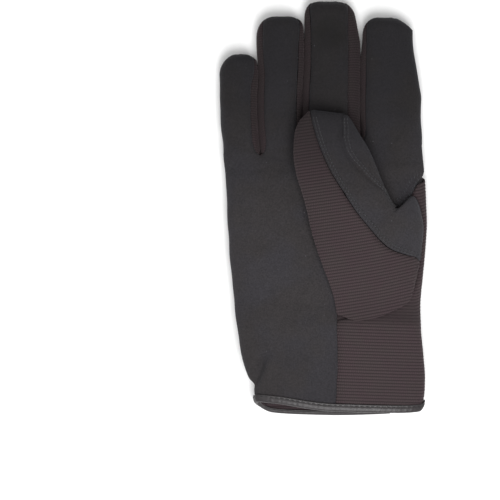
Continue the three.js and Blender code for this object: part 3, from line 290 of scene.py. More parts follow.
# %% [markdown]
# ## Surfaces of the panels
# Each panel is a surface with two running numbers: a row, from the fingertips to the wrist, and a
# column round the hand. A surface can be asked for any number of rows, so the same shape gives smooth
# suede with few rows and ribbed cloth with four rows for each rib.

# %% Fingers
SEAM_ROOT, SEAM_SOFT, SEAM_TIP, SEAM_LIMIT = 9, .6, (1, 20), .985
# rows over which the line of the crotches fades out of the hand
CROTCH_FADE = 2.5


def seam_place(index, side, y, root, top):
    """The place of a finger's seam round its section. side is -1 for the left one and 1 for the right."""
    finger = FINGERS[index]
    which = 0 if side < 0 else 1
    inset = finger["seam"][which]
    if inset == 0:
        return np.full(np.shape(y), side * (WRAP_PALM if top else WRAP_BACK))
    section = finger_section(index, y, top)
    inset = inset * lerp(finger["tip_seam"][which], 1, smoothstep(finger["length"] - y, *SEAM_TIP))
    spare = inset * circle_rise(np.maximum(y - root, 0), SEAM_ROOT) - section.rounds[which]
    open_by = (spare + np.sqrt(spare ** 2 + SEAM_SOFT ** 2)) / 2
    x = section.left + open_by if side < 0 else section.right - open_by
    return np.clip(place_of(section, x, True), -SEAM_LIMIT, SEAM_LIMIT)


def finger_surface(index, top, row, col):
    finger, roots = FINGERS[index], PALM_ROOTS if top else BACK_ROOTS
    left = lerp(finger["length"], roots[index], row)
    right = lerp(finger["length"], roots[index + 1], row)
    left_place = seam_place(index, -1, left, roots[index], top)
    right_place = seam_place(index, 1, right, roots[index + 1], top)
    if top:
        y = lerp(left, right, col)
        return section_point(finger_section(index, y), lerp(left_place, right_place, col), y)
    y = lerp(right, left, col)
    start = WRAP_BACK if finger["seam"][1] == 0 else 2 - right_place
    end = 4 - WRAP_BACK if finger["seam"][0] == 0 else 2 - left_place
    return section_point(finger_section(index, y, False), lerp(start, end, col), y)


PER_FINGER = 6
LAST = 4 * PER_FINGER
ROOT_COLS = np.arange(0, LAST + .01, .5)


def root_base(top, col):
    """A point of the line where the fingers join the hand."""
    col = np.clip(np.asarray(col, float), 0, LAST)
    slot = np.minimum((col // PER_FINGER).astype(int), 3)
    result = np.zeros(col.shape + (3,))
    for k in range(4):
        here = slot == k
        share = (col[here] - PER_FINGER * k) / PER_FINGER
        result[here] = finger_surface(k if top else 3 - k, top, np.ones(share.shape), share)
    return result


def hand_point(place, down, side=False):
    y = -down * HAND
    return section_point(hand_section(y, side), place, y)


def root_places(top, first, final):
    """The places of the columns round the hand, from the first to the final one."""
    base = root_base(top, ROOT_COLS)
    places = place_of(hand_section(base[:, 1]), base[:, 0], top)
    inner = 6
    for i in range(inner):
        places[i] = lerp(first, places[inner], i / inner)
        places[-1 - i] = lerp(final, places[-1 - inner], i / inner)
    return curve(ROOT_COLS, places)


def evened(places, keep, passes=120):
    """The same places with their steps evened out, for the rows away from the fingers."""
    values = places(ROOT_COLS)
    free = ~np.isin(ROOT_COLS, keep)[1:-1]
    for _ in range(passes):
        values[1:-1] += .5 * free * ((values[:-2] + values[2:]) / 2 - values[1:-1])
    return curve(ROOT_COLS, values)


palm_place = root_places(True, -WRAP_PALM, WRAP_PALM)
back_place = root_places(False, WRAP_BACK, 4 - WRAP_BACK)
print("crotch line of the palm, mm:", np.round(root_base(True, [6, 12, 18])[:, :2], 1).tolist())

# %% Palm
# how far each column under the saddle reaches, and the rows between which that comes and goes
SADDLE_REACH, SADDLE_COMES, SADDLE_GOES = .18, (1.2, 2), (5, 6)
ends = root_base(True, [0, LAST])[:, 1] / -HAND
palm_left_down = curve(np.r_[0, PALM_ROWS[:, 0]], np.r_[ends[0], PALM_ROWS[:, 1]])
palm_right_down = curve(np.r_[0, PALM_ROWS[:, 0]], np.r_[ends[1], PALM_ROWS[:, 2]])
palm_right_across = curve(PALM_ROWS[:, 0], PALM_ROWS[:, 3])


def edge_place(across, down):
    return place_of(hand_section(-down * HAND), hand_x(across, down), True)


marks = np.r_[1.5, np.arange(2, PALM_HEM_ROW + 2)]
edges = np.minimum(WRAP_PALM, edge_place(palm_right_across(marks), palm_right_down(marks)))
palm_right_place = curve(np.r_[0, 1, marks], np.r_[WRAP_PALM, WRAP_PALM, edges])


def palm_point(row, col):
    """Columns past the last one lie under the saddle of the thumb."""
    row, col = np.broadcast_arrays(np.asarray(row, float), np.asarray(col, float))
    beyond = np.maximum(col - LAST, 0)
    base = root_base(True, col)
    along = (palm_place(col) + WRAP_PALM) / (2 * WRAP_PALM)
    place = lerp(-WRAP_PALM, palm_right_place(row), along) + beyond * SADDLE_REACH * (
        smoothstep(row, *SADDLE_COMES) - smoothstep(row, *SADDLE_GOES))
    settled = np.minimum(row, PALM_HEM_ROW)
    wave = -base[..., 1] / HAND - lerp(palm_left_down(0), palm_right_down(0), along)
    down = (lerp(palm_left_down(settled), palm_right_down(settled), along)
            + wave * np.maximum(1 - row / CROTCH_FADE, 0) ** 2)
    down = lerp(down, hem_down(place), row - settled)
    result = hand_point(place, down)
    result[..., 2] = lerp(result[..., 2], base[..., 2], 1 - smoothstep(row, 0, 2))
    return np.where((row <= 0)[..., None], base, result)


# %% Back, with its slit, and the flap on the thumb side of the cuff
SLIT_COL = 3
# the rows over which the hidden columns come to reach under the palm, the rows over which the step at
# the fingers fades out, and the columns over which it comes in
REACH_ROWS, STEP_ROWS, STEP_COLS = (1.4, 3.2), (0, 3), (12, 18)
ends = root_base(False, [0, LAST])[:, 1] / -HAND
back_right_down = curve(BACK_ROWS[:, 0], np.r_[ends[0], BACK_ROWS[1:, 2]])
back_left_down = curve(BACK_ROWS[:, 0], np.r_[ends[1], BACK_ROWS[1:, 1]])
slit_across = curve(BACK_ROWS[:, 0], BACK_ROWS[:, 3])
slit_place = float(back_place(SLIT_COL))
back_even = evened(back_place, [SLIT_COL])
BACK_REACH = WRAP_BACK - WRAP_PALM + .05


def back_point(row, col, side=False):
    """Columns past the last one lie under the edge of the palm."""
    row, col = np.broadcast_arrays(np.asarray(row, float), np.asarray(col, float))
    base = root_base(False, col)
    beyond = np.maximum(col - LAST, 0)
    root = lerp(back_place(col), back_even(col), smoothstep(row, 0, CROTCH_FADE))
    along = (root - WRAP_BACK) / (4 - 2 * WRAP_BACK)
    before = np.minimum(row, BACK_HEM_ROW)
    wave = -base[..., 1] / HAND - lerp(ends[0], ends[1], along)
    down = (lerp(back_right_down(before), back_left_down(before), along)
            + wave * np.maximum(1 - row / CROTCH_FADE, 0) ** 2)
    shift = 0 if side else -SLIT_WIDTH * smoothstep(row, SLIT_TOP_ROW, SLIT_TOP_ROW + 1)
    anchor = place_of(hand_section(-down * HAND, side), hand_x(slit_across(row), down) + shift, False)
    anchor = lerp(slit_place, anchor, smoothstep(row, 0, 3))
    thumb_part = lerp(WRAP_BACK, anchor, (root - WRAP_BACK) / (slit_place - WRAP_BACK))
    main_part = lerp(anchor, 4 - WRAP_BACK, (root - slit_place) / (4 - WRAP_BACK - slit_place))
    reach = beyond * BACK_REACH * smoothstep(row, *REACH_ROWS)
    place = np.where(col <= SLIT_COL, thumb_part, main_part + reach)
    down = lerp(down, hem_down(signed_place(place)), row - before)
    result = hand_point(place, down, side)
    result[..., 2] = lerp(result[..., 2], base[..., 2], 1 - smoothstep(row, 0, 2))
    step = base[..., 0] - hand_point(back_place(col), -base[..., 1] / HAND)[..., 0]
    result[..., 0] += step * (1 - smoothstep(row, *STEP_ROWS)) * smoothstep(col, *STEP_COLS)
    return np.where(((row <= 0) & (beyond == 0))[..., None], base, result)


flap_down = curve(BACK_ROWS[:, 0], BACK_ROWS[:, 5])
flap_across = curve(BACK_ROWS[:, 0], BACK_ROWS[:, 4])
marks = np.r_[.5, np.arange(1, BACK_END_ROW + 1)]
flap_start = curve(np.r_[0, marks], np.r_[WRAP_BACK, edge_place(flap_across(marks), flap_down(marks))])
FLAP_RISE, FLAP_ROWS = .045, (1.5, 3.5)


def flap_point(row, share):
    """Rows above 0 lie under the root of the index finger, shares under 0 lie under the palm."""
    row, share = np.broadcast_arrays(np.asarray(row, float), np.asarray(share, float))
    before = np.minimum(row, BACK_HEM_ROW)
    place = np.where(share < 0, flap_start(row) + share * smoothstep(row, *FLAP_ROWS),
                     lerp(flap_start(row), WRAP_BACK, share))
    down = lerp(flap_down(before), back_right_down(before), smoothstep(share, 0, 1))
    down = lerp(down + FLAP_RISE * np.minimum(row, 0), hem_down(place), row - before)
    return hand_point(place, down, True)


# %% Thumb
thumb = {name: curve(THUMB_ROWS[:, 0], THUMB_ROWS[:, k + 1]) for k, name in enumerate(THUMB_NAMES)}
sag_across, sag_down = (curve(BASE_SAG[:, 0], BASE_SAG[:, k]) for k in (1, 2))
EDGE_STAND, UNDER_STAND, LAST_UNDER = WALL + SEAM_GAP, 2.6 * SEAM_GAP, BASE_ROW - 1
SAG_DOWN = .6


def plan(across, down):
    return np.stack([hand_x(across, down), -down * HAND], -1)


def cover_height(xy):
    """The height of the palm under a point of the plan."""
    section = hand_section(xy[..., 1])
    x = np.clip(xy[..., 0], section.centre - section.half_left, section.centre + section.half_right)
    return section_point(section, place_of(section, x, True), xy[..., 1])[..., 2]


def thumb_ends(row):
    return [plan(thumb[name + "X"](row), thumb[name + "D"](row)) for name in ("left", "seam", "right")]


def thumb_seam_across(row):
    left, seam, right = thumb_ends(row)
    left_span = np.linalg.norm(seam - left, axis=-1)
    return 2 * left_span / (left_span + np.linalg.norm(right - seam, axis=-1)) - 1


def thumb_seam_place(row):
    return np.arcsin(signed_power(thumb_seam_across(row), 1 / ROUND_TOP)) * 2 / np.pi


def thumb_point(row, place):
    """Places -1 to 1 are the thumb's upper side, 1 to 3 its underside, which lies on the palm."""
    row, place = np.broadcast_arrays(np.asarray(row, float), np.asarray(place, float))
    left, seam, right = thumb_ends(row)
    seam_e = thumb_seam_across(row)
    turn = place * np.pi / 2
    closing = circle_rise(row, TIP_ROWS)
    rises = [np.maximum(thumb[name](row) * THUMB_THICK, EDGE_STAND)
             for name in ("leftRise", "rightRise", "crest")]
    top = np.abs(place) <= 1
    split = SEAM_GAP * np.maximum(1 - row, 0)
    e = signed_power(np.sin(turn), np.where(top, ROUND_TOP, ROUND_BOTTOM))
    edge_rise = lerp(rises[0], rises[1], (e + 1) / 2)
    share = (e + 1) / (seam_e + 1)
    beside = ((e - seam_e) / np.maximum(1 - seam_e, 1e-4))[..., None]
    over = np.where((e < seam_e)[..., None], lerp(left, seam, share[..., None]), lerp(seam, right, beside))
    past_crotch = (row - CROTCH_ROW) / (BASE_ROW - CROTCH_ROW)
    grow = np.where((e < seam_e) & (row > CROTCH_ROW), past_crotch ** 2, 0)
    sag = [sag_across(share) * breadth_at(SAG_DOWN) * grow, -sag_down(share) * HAND * grow]
    over = over + np.stack(sag, -1)
    w = np.abs(np.cos(turn)) ** np.where(top, ROUND_TOP, ROUND_BOTTOM) * closing
    over_height = edge_rise + (rises[2] - edge_rise) * w + split
    reach = np.clip((row - CROTCH_ROW) / (LAST_UNDER - CROTCH_ROW), 0, 1)[..., None]
    crotch = plan(thumb["rightX"](CROTCH_ROW), thumb["rightD"](CROTCH_ROW))
    left_end = plan(thumb["leftX"](LAST_UNDER), thumb["leftD"](LAST_UNDER))
    far = np.where((row <= CROTCH_ROW)[..., None], right, lerp(crotch, left_end, reach))
    under = lerp(left, far, ((e + 1) / 2)[..., None])
    under_height = edge_rise + (UNDER_STAND - edge_rise) * w - split
    xy = np.where(top[..., None], over, under)
    height = np.where(top, over_height, under_height)
    return np.concatenate([xy, (cover_height(xy) + height)[..., None]], -1)


print("thumb tip, mm:", np.round(thumb_point(0, 0) + SHIFT, 1).tolist())

# %% [markdown]
# ## From a surface to cloth
# A sewn panel is a sheet about a millimetre thick. Its surface is sampled as a grid, the patches are
# welded, each point is pushed along its normal by ribs, dents and the roll beside a seam, and the
# sheet is then given its thickness. Heights are real geometry, so the ribs notch the outline too.

# %% Patches
def spread(low, high, count):
    return np.linspace(low, high, count + 1)


def arc_from(points, axis, back):
    """Distance in mm of each grid point from the first or last line of the grid."""
    step = np.linalg.norm(np.diff(points, axis=axis), axis=-1)
    if axis == 0:
        length = np.concatenate([np.zeros((1, points.shape[1])), np.cumsum(step, 0)], 0)
        return length[-1:] - length if back else length
    length = np.concatenate([np.zeros((points.shape[0], 1)), np.cumsum(step, 1)], 1)
    return length[:, -1:] - length if back else length


# the depth of the roll in mm, the swell as a share of it, and how far from the seam the swell is
ROLL_DEPTH, SWELL, SWELL_AT = .42, .3, 2.2
CALM_REACH = (1, 9)


def seam_roll(points, sides):
    """The cloth turns down within a millimetre of a seam and swells a little beyond it. sides:
    first_row, last_row, first_col, last_col."""
    roll = np.zeros(points.shape[:2])
    for axis, back, name in ((0, False, "first_row"), (0, True, "last_row"), (1, False, "first_col"),
                             (1, True, "last_col")):
        if name in sides:
            distance = arc_from(points, axis, back)
            roll -= ROLL_DEPTH * np.exp(-distance ** 2)
            roll += SWELL * ROLL_DEPTH * np.exp(-(distance - SWELL_AT) ** 2)
    return roll


def calmed(points, height, calm_end):
    """Under a binding the cloth is pressed flat, so heights fade towards the last row."""
    return height * smoothstep(arc_from(points, 0, True), *CALM_REACH) if calm_end else height


TUCK = 1.8


def even_patch(surface, rows, cols, height, sides=(), calm_end=False, tucked=0, tuck=TUCK):
    """A grid of even rows and columns. height(points) gives the push along the normal, in mm.
    tucked counts the last columns, which go down by tuck under the next panel."""
    row, col = np.meshgrid(rows, cols, indexing="ij")
    points = surface(row, col) + SHIFT
    push = calmed(points, height(points), calm_end)
    shown = len(cols) - tucked
    push[:, :shown] += seam_roll(points[:, :shown], sides)
    push[:, shown:] -= tuck
    return {"points": points, "height": push, "uv": points[..., :2]}


PER_RIB = 4
PROBES = 500
RIB_SHARPNESS, RIB_LEVEL = .8, .6


def rib_relief(count, depth):
    """The height of the ribs where their count has this value. A groove lies at each whole number."""
    return depth * (np.abs(np.sin(np.pi * count)) ** RIB_SHARPNESS - RIB_LEVEL)


def rib_patch(surface, row_span, cols, phase, height, depth, sides=(), calm_end=False, tucked=(0, 0)):
    """A grid whose rows follow the ribs: phase(points) counts ribs along a column. tucked counts the
    first and the last columns that go down under the next panel."""
    probe = np.linspace(*row_span, PROBES)
    row, col = np.meshgrid(probe, cols, indexing="ij")
    ribs = phase(surface(row, col) + SHIFT)
    lines = np.arange(np.ceil(ribs.min() * PER_RIB) - 1, np.floor(ribs.max() * PER_RIB) + 2) / PER_RIB
    rising = ribs[-1].mean() > ribs[0].mean()
    if not rising:
        lines = lines[::-1]
    rows = np.empty((len(lines), len(cols)))
    for j in range(len(cols)):
        track = ribs[:, j] if rising else ribs[::-1, j]
        track = np.maximum.accumulate(track)
        steps = probe if rising else probe[::-1]
        rows[:, j] = np.interp(lines, track, steps)
    points = surface(rows, np.broadcast_to(cols, rows.shape)) + SHIFT
    count = phase(points)
    push = rib_relief(count, depth) + calmed(points, height(points), calm_end)
    first, last = tucked[0], len(cols) - tucked[1]
    push[:, first:last] += seam_roll(points[:, first:last], sides)
    push[:, :first] -= TUCK
    push[:, last:] -= TUCK
    return {"points": points, "height": push, "uv": np.stack([arc_from(points, 1, False), count], -1)}


# %% Cloth from patches
def material_named(name):
    return bpy.data.materials.get(name) or bpy.data.materials.new(name)


def new_piece(name, mesh, material):
    piece = bpy.data.objects.new(name, mesh)
    bpy.context.scene.collection.objects.link(piece)
    piece.data.materials.append(material_named(material))
    return piece


WELD, SLIVER = .06, .01


def cloth(name, patches, wall, material, node):
    """Patches in mm, welded, pushed along their normals and given a wall: one piece in metres."""
    points, heights, uvs, faces = [], [], [], []
    start = 0
    for patch in patches:
        rows, cols = patch["points"].shape[:2]
        points.append(patch["points"].reshape(-1, 3))
        heights.append(patch["height"].reshape(-1))
        uvs.append(patch["uv"].reshape(-1, 2))
        grid = start + np.arange(rows * cols).reshape(rows, cols)
        quads = np.stack([grid[:-1, :-1], grid[1:, :-1], grid[1:, 1:], grid[:-1, 1:]], -1).reshape(-1, 4)
        faces.append(quads)
        start += rows * cols
    points, heights, uvs = np.concatenate(points), np.concatenate(heights), np.concatenate(uvs)
    faces = np.concatenate(faces)
    mesh = bpy.data.meshes.new(name)
    mesh.from_pydata(points.tolist(), [], faces.tolist())
    for label, values in (("push", heights), ("along", uvs[:, 0]), ("count", uvs[:, 1])):
        mesh.attributes.new(label, "FLOAT", "POINT").data.foreach_set("value", values.astype(np.float32))
    bm = bmesh.new()
    bm.from_mesh(mesh)
    bmesh.ops.remove_doubles(bm, verts=bm.verts, dist=WELD)
    bmesh.ops.dissolve_degenerate(bm, edges=bm.edges, dist=SLIVER)
    push, along, count = (bm.verts.layers.float[label] for label in ("push", "along", "count"))
    uv = bm.loops.layers.uv.new("weave")
    for face in bm.faces:
        face.smooth = True
        for loop in face.loops:
            loop[uv].uv = (loop.vert[along], loop.vert[count])
    bm.normal_update()
    moves = [(vert, vert.normal * vert[push]) for vert in bm.verts]
    for vert, move in moves:
        vert.co += move
    for vert in bm.verts:
        vert.co *= .001
    bm.to_mesh(mesh)
    bm.free()
    for label in ("push", "along", "count"):
        mesh.attributes.remove(mesh.attributes[label])
    piece = new_piece(name, mesh, material)
    solid = piece.modifiers.new("wall", "SOLIDIFY")
    solid.thickness = wall * .001
    solid.offset = -1
    solid.use_quality_normals = False
    settle(piece)
    finish_piece(piece, node)
    return piece


def settle(piece):
    """Applies a piece's modifiers."""
    graph = bpy.context.evaluated_depsgraph_get()
    done = bpy.data.meshes.new_from_object(piece.evaluated_get(graph))
    piece.modifiers.clear()
    old = piece.data
    piece.data = done
    bpy.data.meshes.remove(old)


def finish_piece(piece, node):
    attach(piece, "root")
    if node:
        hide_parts(node)
    piece.data.calc_loop_triangles()
    size = np.array(piece.bound_box)
    print(f"{piece.name}: {len(piece.data.loop_triangles)} triangles,",
          np.round((size.max(0) - size.min(0)) * 1000, 1).tolist(), "mm")


# %% [markdown]
# ## Dents, folds and puckers
# Soft cloth is never quite even. A few broad waves, and the marks that this glove shows, are added up
# as heights over the plan: the pinched fold at the little-finger side of the hem, the hollows in the
# middle finger, and the trough beside the cuff seam. Marks are places in the picture frame.

# %% Heights over the plan
# mm in one step of the picture frame, and the mark over the glove's own origin
PIXEL = .58
MARK_ORIGIN = (322, 150)
# the marks of the dent in the middle fingertip, of the knuckle, and of the painted shade in the fingertip
# hollow
TIP_MARK, KNUCKLE_MARK, HOLLOW_SHADE_MARK = (329, 33), (328, 80), (329, 34)
HEM_FOLD = [(264, 350), (261, 366), (256.5, 379), (249, 393)]
HEM_RIDGE = [(273, 350), (267, 370), (261, 384), (258, 394)]
CUFF_TROUGH = [(331, 290), (330.5, 330), (330, 360), (328.5, 392)]
WAVE_COUNT = 7


def at_mark(x, y):
    """A place in the picture frame as a place on the glove, in mm."""
    return np.array([(x - MARK_ORIGIN[0]) * PIXEL + SHIFT[0], (MARK_ORIGIN[1] - y) * PIXEL + SHIFT[1]])


def waves(points, size, depth, seed):
    """A few waves in random directions. size is their length and depth their height, in mm."""
    draw = np.random.default_rng(seed)
    total = 0
    for _ in range(WAVE_COUNT):
        angle, phase = draw.uniform(0, 2 * np.pi, 2)
        pitch = size * draw.uniform(.7, 1.5)
        run = points[..., 0] * np.cos(angle) + points[..., 1] * np.sin(angle) + .6 * points[..., 2]
        total = total + np.sin(2 * np.pi * run / pitch + phase)
    return total * depth / WAVE_COUNT * 2


def dimple(points, mark, radius, depth):
    """A round hollow at a mark. radius is in the picture frame, depth in mm."""
    centre = at_mark(*mark)
    away = (points[..., 0] - centre[0]) ** 2 + (points[..., 1] - centre[1]) ** 2
    return -depth * np.exp(-away / (radius * PIXEL) ** 2)


def distance_to(points, marks):
    """Distance over the plan from a line of marks, and the share of the line passed."""
    line = np.array([at_mark(*mark) for mark in marks])
    best = np.full(points.shape[:-1], 1e9)
    share = np.zeros(points.shape[:-1])
    lengths = np.linalg.norm(np.diff(line, axis=0), axis=1)
    total, passed = lengths.sum(), 0
    for a, b, length in zip(line[:-1], line[1:], lengths):
        t = np.clip(((points[..., :2] - a) @ (b - a)) / length ** 2, 0, 1)
        away = np.linalg.norm(points[..., :2] - a - t[..., None] * (b - a), axis=-1)
        nearer = away < best
        best = np.where(nearer, away, best)
        share = np.where(nearer, (passed + t * length) / total, share)
        passed += length
    return best, share


def fold(points, marks, width, depth, fade=.2):
    """A valley, or a ridge where depth is negative, along a line of marks."""
    away, share = distance_to(points, marks)
    ends = smoothstep(share, 0, fade) * smoothstep(1 - share, 0, fade) if fade else 1
    return -depth * ends * np.exp(-(away / (width * PIXEL)) ** 2)


def palm_height(points):
    height = waves(points, 38, .5, 3) + waves(points, 15, .12, 5)
    height += dimple(points, TIP_MARK, 15, 1.3) + dimple(points, KNUCKLE_MARK, 20, .3)
    height += fold(points, HEM_FOLD, 4.6, 3.2, .3)
    height += fold(points, HEM_RIDGE, 5, -1.5, .3)
    height += fold(points, CUFF_TROUGH, 3, 1.7, .12)
    return height


tip_height = palm_height(np.array([*at_mark(*TIP_MARK), THICK]))
print("palm height at the middle fingertip, mm:", round(float(tip_height), 2))

# %% [markdown]
# ## Palm
# The palm and the four finger fronts are cut from one piece of suede. Suede is smooth at this scale,
# so even rows a millimetre or so apart are enough, and its nap is left to the material.

# %% Palm and finger fronts
SUEDE_WALL, THIN_WALL = .9, .8
TIP_STEPS = np.array([0, .003, .008, .016, .028, .045, .07, .1])
finger_rows = np.r_[TIP_STEPS, spread(.125, 1, 56)]
finger_cols = spread(0, 1, 24)


def flat_height(points):
    return np.zeros(points.shape[:-1])


def finger_fronts():
    patches = []
    for index in range(4):
        patches.append(even_patch(lambda row, col, k=index: finger_surface(k, True, row, col),
                                  finger_rows, finger_cols, palm_height, ("first_col", "last_col")))
    return patches


palm_rows = np.r_[spread(0, 2, 24), spread(2, PALM_HEM_ROW, 76)[1:],
                  spread(PALM_HEM_ROW, PALM_HEM_ROW + 1, 12)[1:]]
PALM_TUCK = LAST + np.array([.05, .3, .6, 1])
palm_cols = np.r_[spread(0, LAST, 24 * 4), PALM_TUCK]


def eased(surface, rows, cols, passes=60, until=3.4):
    """The same surface with its heights smoothed near the fingers, where the crotches dent it."""
    row, col = np.meshgrid(rows, cols, indexing="ij")
    points = surface(row, col)
    give = (smoothstep(row, 0, .35) * (1 - smoothstep(row, until - 1.4, until)))[1:-1, 1:-1]
    z = points[..., 2]
    for _ in range(passes):
        mean = (z[:-2, 1:-1] + z[2:, 1:-1] + z[1:-1, :-2] + z[1:-1, 2:]) / 4
        z[1:-1, 1:-1] += give * (mean - z[1:-1, 1:-1])
    print("palm eased by up to", round(float(np.abs(z - surface(row, col)[..., 2]).max()), 2), "mm")
    return points


palm_tuck = lerp(.9, .15, smoothstep(palm_rows, 1.8, 2.5))[:, None]
palm_points = eased(palm_point, palm_rows, palm_cols)
palm_patch = even_patch(lambda row, col: palm_points, palm_rows, palm_cols, palm_height, ("last_col",),
                        calm_end=True, tucked=len(PALM_TUCK), tuck=palm_tuck)
palm = cloth("palm_suede", finger_fronts() + [palm_patch], SUEDE_WALL, "suede", node="palm_panel")

# %% [markdown]
# ## Ribbed back
# The back is one piece of ribbed stretch cloth that also wraps the thumb side of the cuff. The ribs
# run round the hand about 1.8 mm apart. Rows are laid along the ribs, four to a rib, so that none is
# lost between two rows.

# %% Ribs
BACK_PITCH, THUMB_PITCH, STRIP_PITCH = 1.8, 1.77, 1.55
BACK_RIB, THUMB_RIB, STRIP_RIB, RIBBED_WALL = .22, .24, .42, .9


def finger_share(index, distance):
    """A distance in mm from a fingertip, as a share of the finger's back."""
    return distance / (FINGERS[index]["length"] - (BACK_ROOTS[index] + BACK_ROOTS[index + 1]) / 2)


def hand_ribs(points):
    lean = .036 * np.clip(points[..., 0] + 20, 0, 80) * smoothstep(points[..., 2], 8, 15)
    return -(points[..., 1] + lean) / BACK_PITCH


def back_height(points):
    return waves(points, 45, .35, 11) * smoothstep(points[..., 2], 1, 6)


FLAP_TUCK = np.array([-.2, -.14, -.07, -.006])
FLAP_TOP, FLAP_DROP = float(flap_point(0, .3)[1] + SHIFT[1]), 1.4


def flap_height(points):
    """The top of the flap dips under the root of the index finger."""
    return back_height(points) - FLAP_DROP * smoothstep(points[..., 1], FLAP_TOP - .5, FLAP_TOP + 2)


BACK_TUCK = LAST + np.array([.05, .3, .65, 1])


def back_patches():
    patches = []
    for index in range(4):
        span = (finger_share(index, CAP) if FINGERS[index]["cap"] else 0, 1)
        patches.append(rib_patch(lambda row, col, k=index: finger_surface(k, False, row, col), span,
                                 spread(0, 1, 16), hand_ribs, back_height, BACK_RIB,
                                 ("first_col", "last_col")))
    side_cols = spread(0, SLIT_COL, 8)
    main_cols = np.r_[spread(SLIT_COL, LAST, 56), BACK_TUCK]
    every_col = np.r_[side_cols, main_cols[1:]]
    tucked = (0, len(BACK_TUCK))
    slit_rows = (SLIT_TOP_ROW, BACK_END_ROW)
    patches.append(rib_patch(back_point, (0, SLIT_TOP_ROW), every_col, hand_ribs, back_height, BACK_RIB,
                             ("last_col",), tucked=tucked))
    patches.append(rib_patch(lambda row, col: back_point(row, col, True), slit_rows, side_cols,
                             hand_ribs, back_height, BACK_RIB, calm_end=True))
    patches.append(rib_patch(back_point, slit_rows, main_cols, hand_ribs, back_height, BACK_RIB,
                             ("last_col",), calm_end=True, tucked=tucked))
    patches.append(rib_patch(flap_point, (-1, BACK_END_ROW), np.r_[FLAP_TUCK, spread(0, 1, 26)],
                             hand_ribs, flap_height, BACK_RIB, ("first_col",), calm_end=True,
                             tucked=(len(FLAP_TUCK), 0)))
    return patches


back = cloth("back_ribbed", back_patches(), RIBBED_WALL, "ribbed", node="back_panel")

# %% [markdown]
# ## Caps on three fingertips
# The backs of the ring, middle and index fingertips are covered by suede caps. Each ends in a straight
# edge with a row of stitches just inside it.

# %% Caps
def tip_cap(index):
    rows = np.r_[TIP_STEPS * .7, spread(.085, finger_share(index, CAP - SEAM_GAP), 14)]
    patch = even_patch(lambda row, col: finger_surface(index, False, row, col), rows, finger_cols,
                       flat_height, ("first_col", "last_col", "last_row"))
    name = FINGERS[index]["name"]
    return cloth(f"{name}_cap_suede", [patch], SUEDE_WALL, "suede", node=f"{name}_tip_cap")


caps = [tip_cap(index) for index in (1, 2, 3)]

# %% [markdown]
# ## Strips between the fingers
# A fourchette is a strip of ribbed cloth that runs down the side of one finger, round the crotch and up
# the next. Its ribs run across it, a little finer than on the back.

# %% Strips
STRIP_START, STRIP_TUCK = .9, .55
# below these heights the two sides of each strip bulge by this much, so that they touch
TOUCH_FROM, TOUCH_PULL, TOUCH_LENGTH = (52, 68, 57), .42, 6
CROTCH_SHARE, STRIP_MIDDLE, STRIP_LEAN = .8, 5, .2


def strip_surface(index, row, col):
    """Rows 0 to 1 run down one finger, 1 to 2 up the next. Columns run from the palm to the back."""
    row, col = np.broadcast_arrays(np.asarray(row, float), np.asarray(col, float))
    result = np.zeros(row.shape + (3,))
    for first in (True, False):
        here = (row <= 1) if first else (row > 1)
        along = row[here] if first else 2 - row[here]
        turn = col[here]
        finger, side = (index, 1) if first else (index + 1, -1)
        start = FINGERS[finger]["length"] - STRIP_START
        palm_y = lerp(start, PALM_ROOTS[index + 1], along)
        back_y = lerp(start, BACK_ROOTS[index + 1], along)
        mid_y = lerp(start, (PALM_ROOTS[index + 1] + BACK_ROOTS[index + 1]) / 2, along)
        high_place = seam_place(finger, side, palm_y, PALM_ROOTS[index + 1], True)
        low_place = seam_place(finger, side, back_y, BACK_ROOTS[index + 1], False)
        high = section_point(finger_section(finger, palm_y), high_place, palm_y)
        low = section_point(finger_section(finger, back_y, False), side * 2 - low_place, back_y)
        middle = finger_section(finger, mid_y)
        edge = middle.right if side > 0 else middle.left
        groove = side_curves[index + 1](mid_y / MIDDLE) * PALM
        edge = edge + side * TOUCH_PULL * smoothstep(TOUCH_FROM[index] - mid_y, 0, TOUCH_LENGTH)
        middle_x = lerp(edge, groove, np.clip((along - CROTCH_SHARE) / (1 - CROTCH_SHARE), 0, 1))
        swing = np.abs(np.sin(turn * np.pi / 2))
        up = turn < 0
        end_x = np.where(up, high[:, 0], low[:, 0])
        end_z = np.where(up, high[:, 2] - STRIP_TUCK, low[:, 2] + STRIP_TUCK)
        x = lerp(end_x, middle_x, np.abs(np.cos(turn * np.pi / 2)))
        y = lerp(mid_y, np.where(up, palm_y, back_y), swing)
        z = lerp(FINGER_MID, end_z, swing)
        result[here] = np.stack([x, y, z], -1)
    return result


def strip(index):
    length = FINGERS[index]["length"] + FINGERS[index + 1]["length"]
    rows = spread(0, 2, int(length / STRIP_PITCH * PER_RIB * .95))
    row, col = np.meshgrid(rows, spread(-1, 1, 2 * STRIP_MIDDLE), indexing="ij")
    points = strip_surface(index, row, col) + SHIFT
    run = arc_from(points[:, STRIP_MIDDLE:STRIP_MIDDLE + 1], 0, False)
    over = arc_from(points, 1, False)
    count = (run + STRIP_LEAN * over) / STRIP_PITCH
    patch = {"points": points, "height": rib_relief(count, STRIP_RIB), "uv": np.stack([over, count], -1)}
    name = FINGERS[index]["name"] + "_" + FINGERS[index + 1]["name"]
    return cloth(f"{name}_strip_ribbed", [patch], THIN_WALL, "ribbed", node=f"fourchette_{name}")


strips = [strip(index) for index in (0, 1, 2)]

# %% [markdown]
# ## Thumb
# The thumb lies folded over the palm. Its ribbed back shows on the left, its suede front on the right,
# and a second layer of suede is stitched over the side that faces the index finger.

# %% Thumb panels
def thumb_ribs(points):
    lean = .14 * (points[..., 0] - 10) + .0011 * np.clip(points[..., 0] - 10, 0, 60) ** 2
    return -(points[..., 1] - lean) / THUMB_PITCH


def thumb_height(points):
    return waves(points, 30, .3, 21)


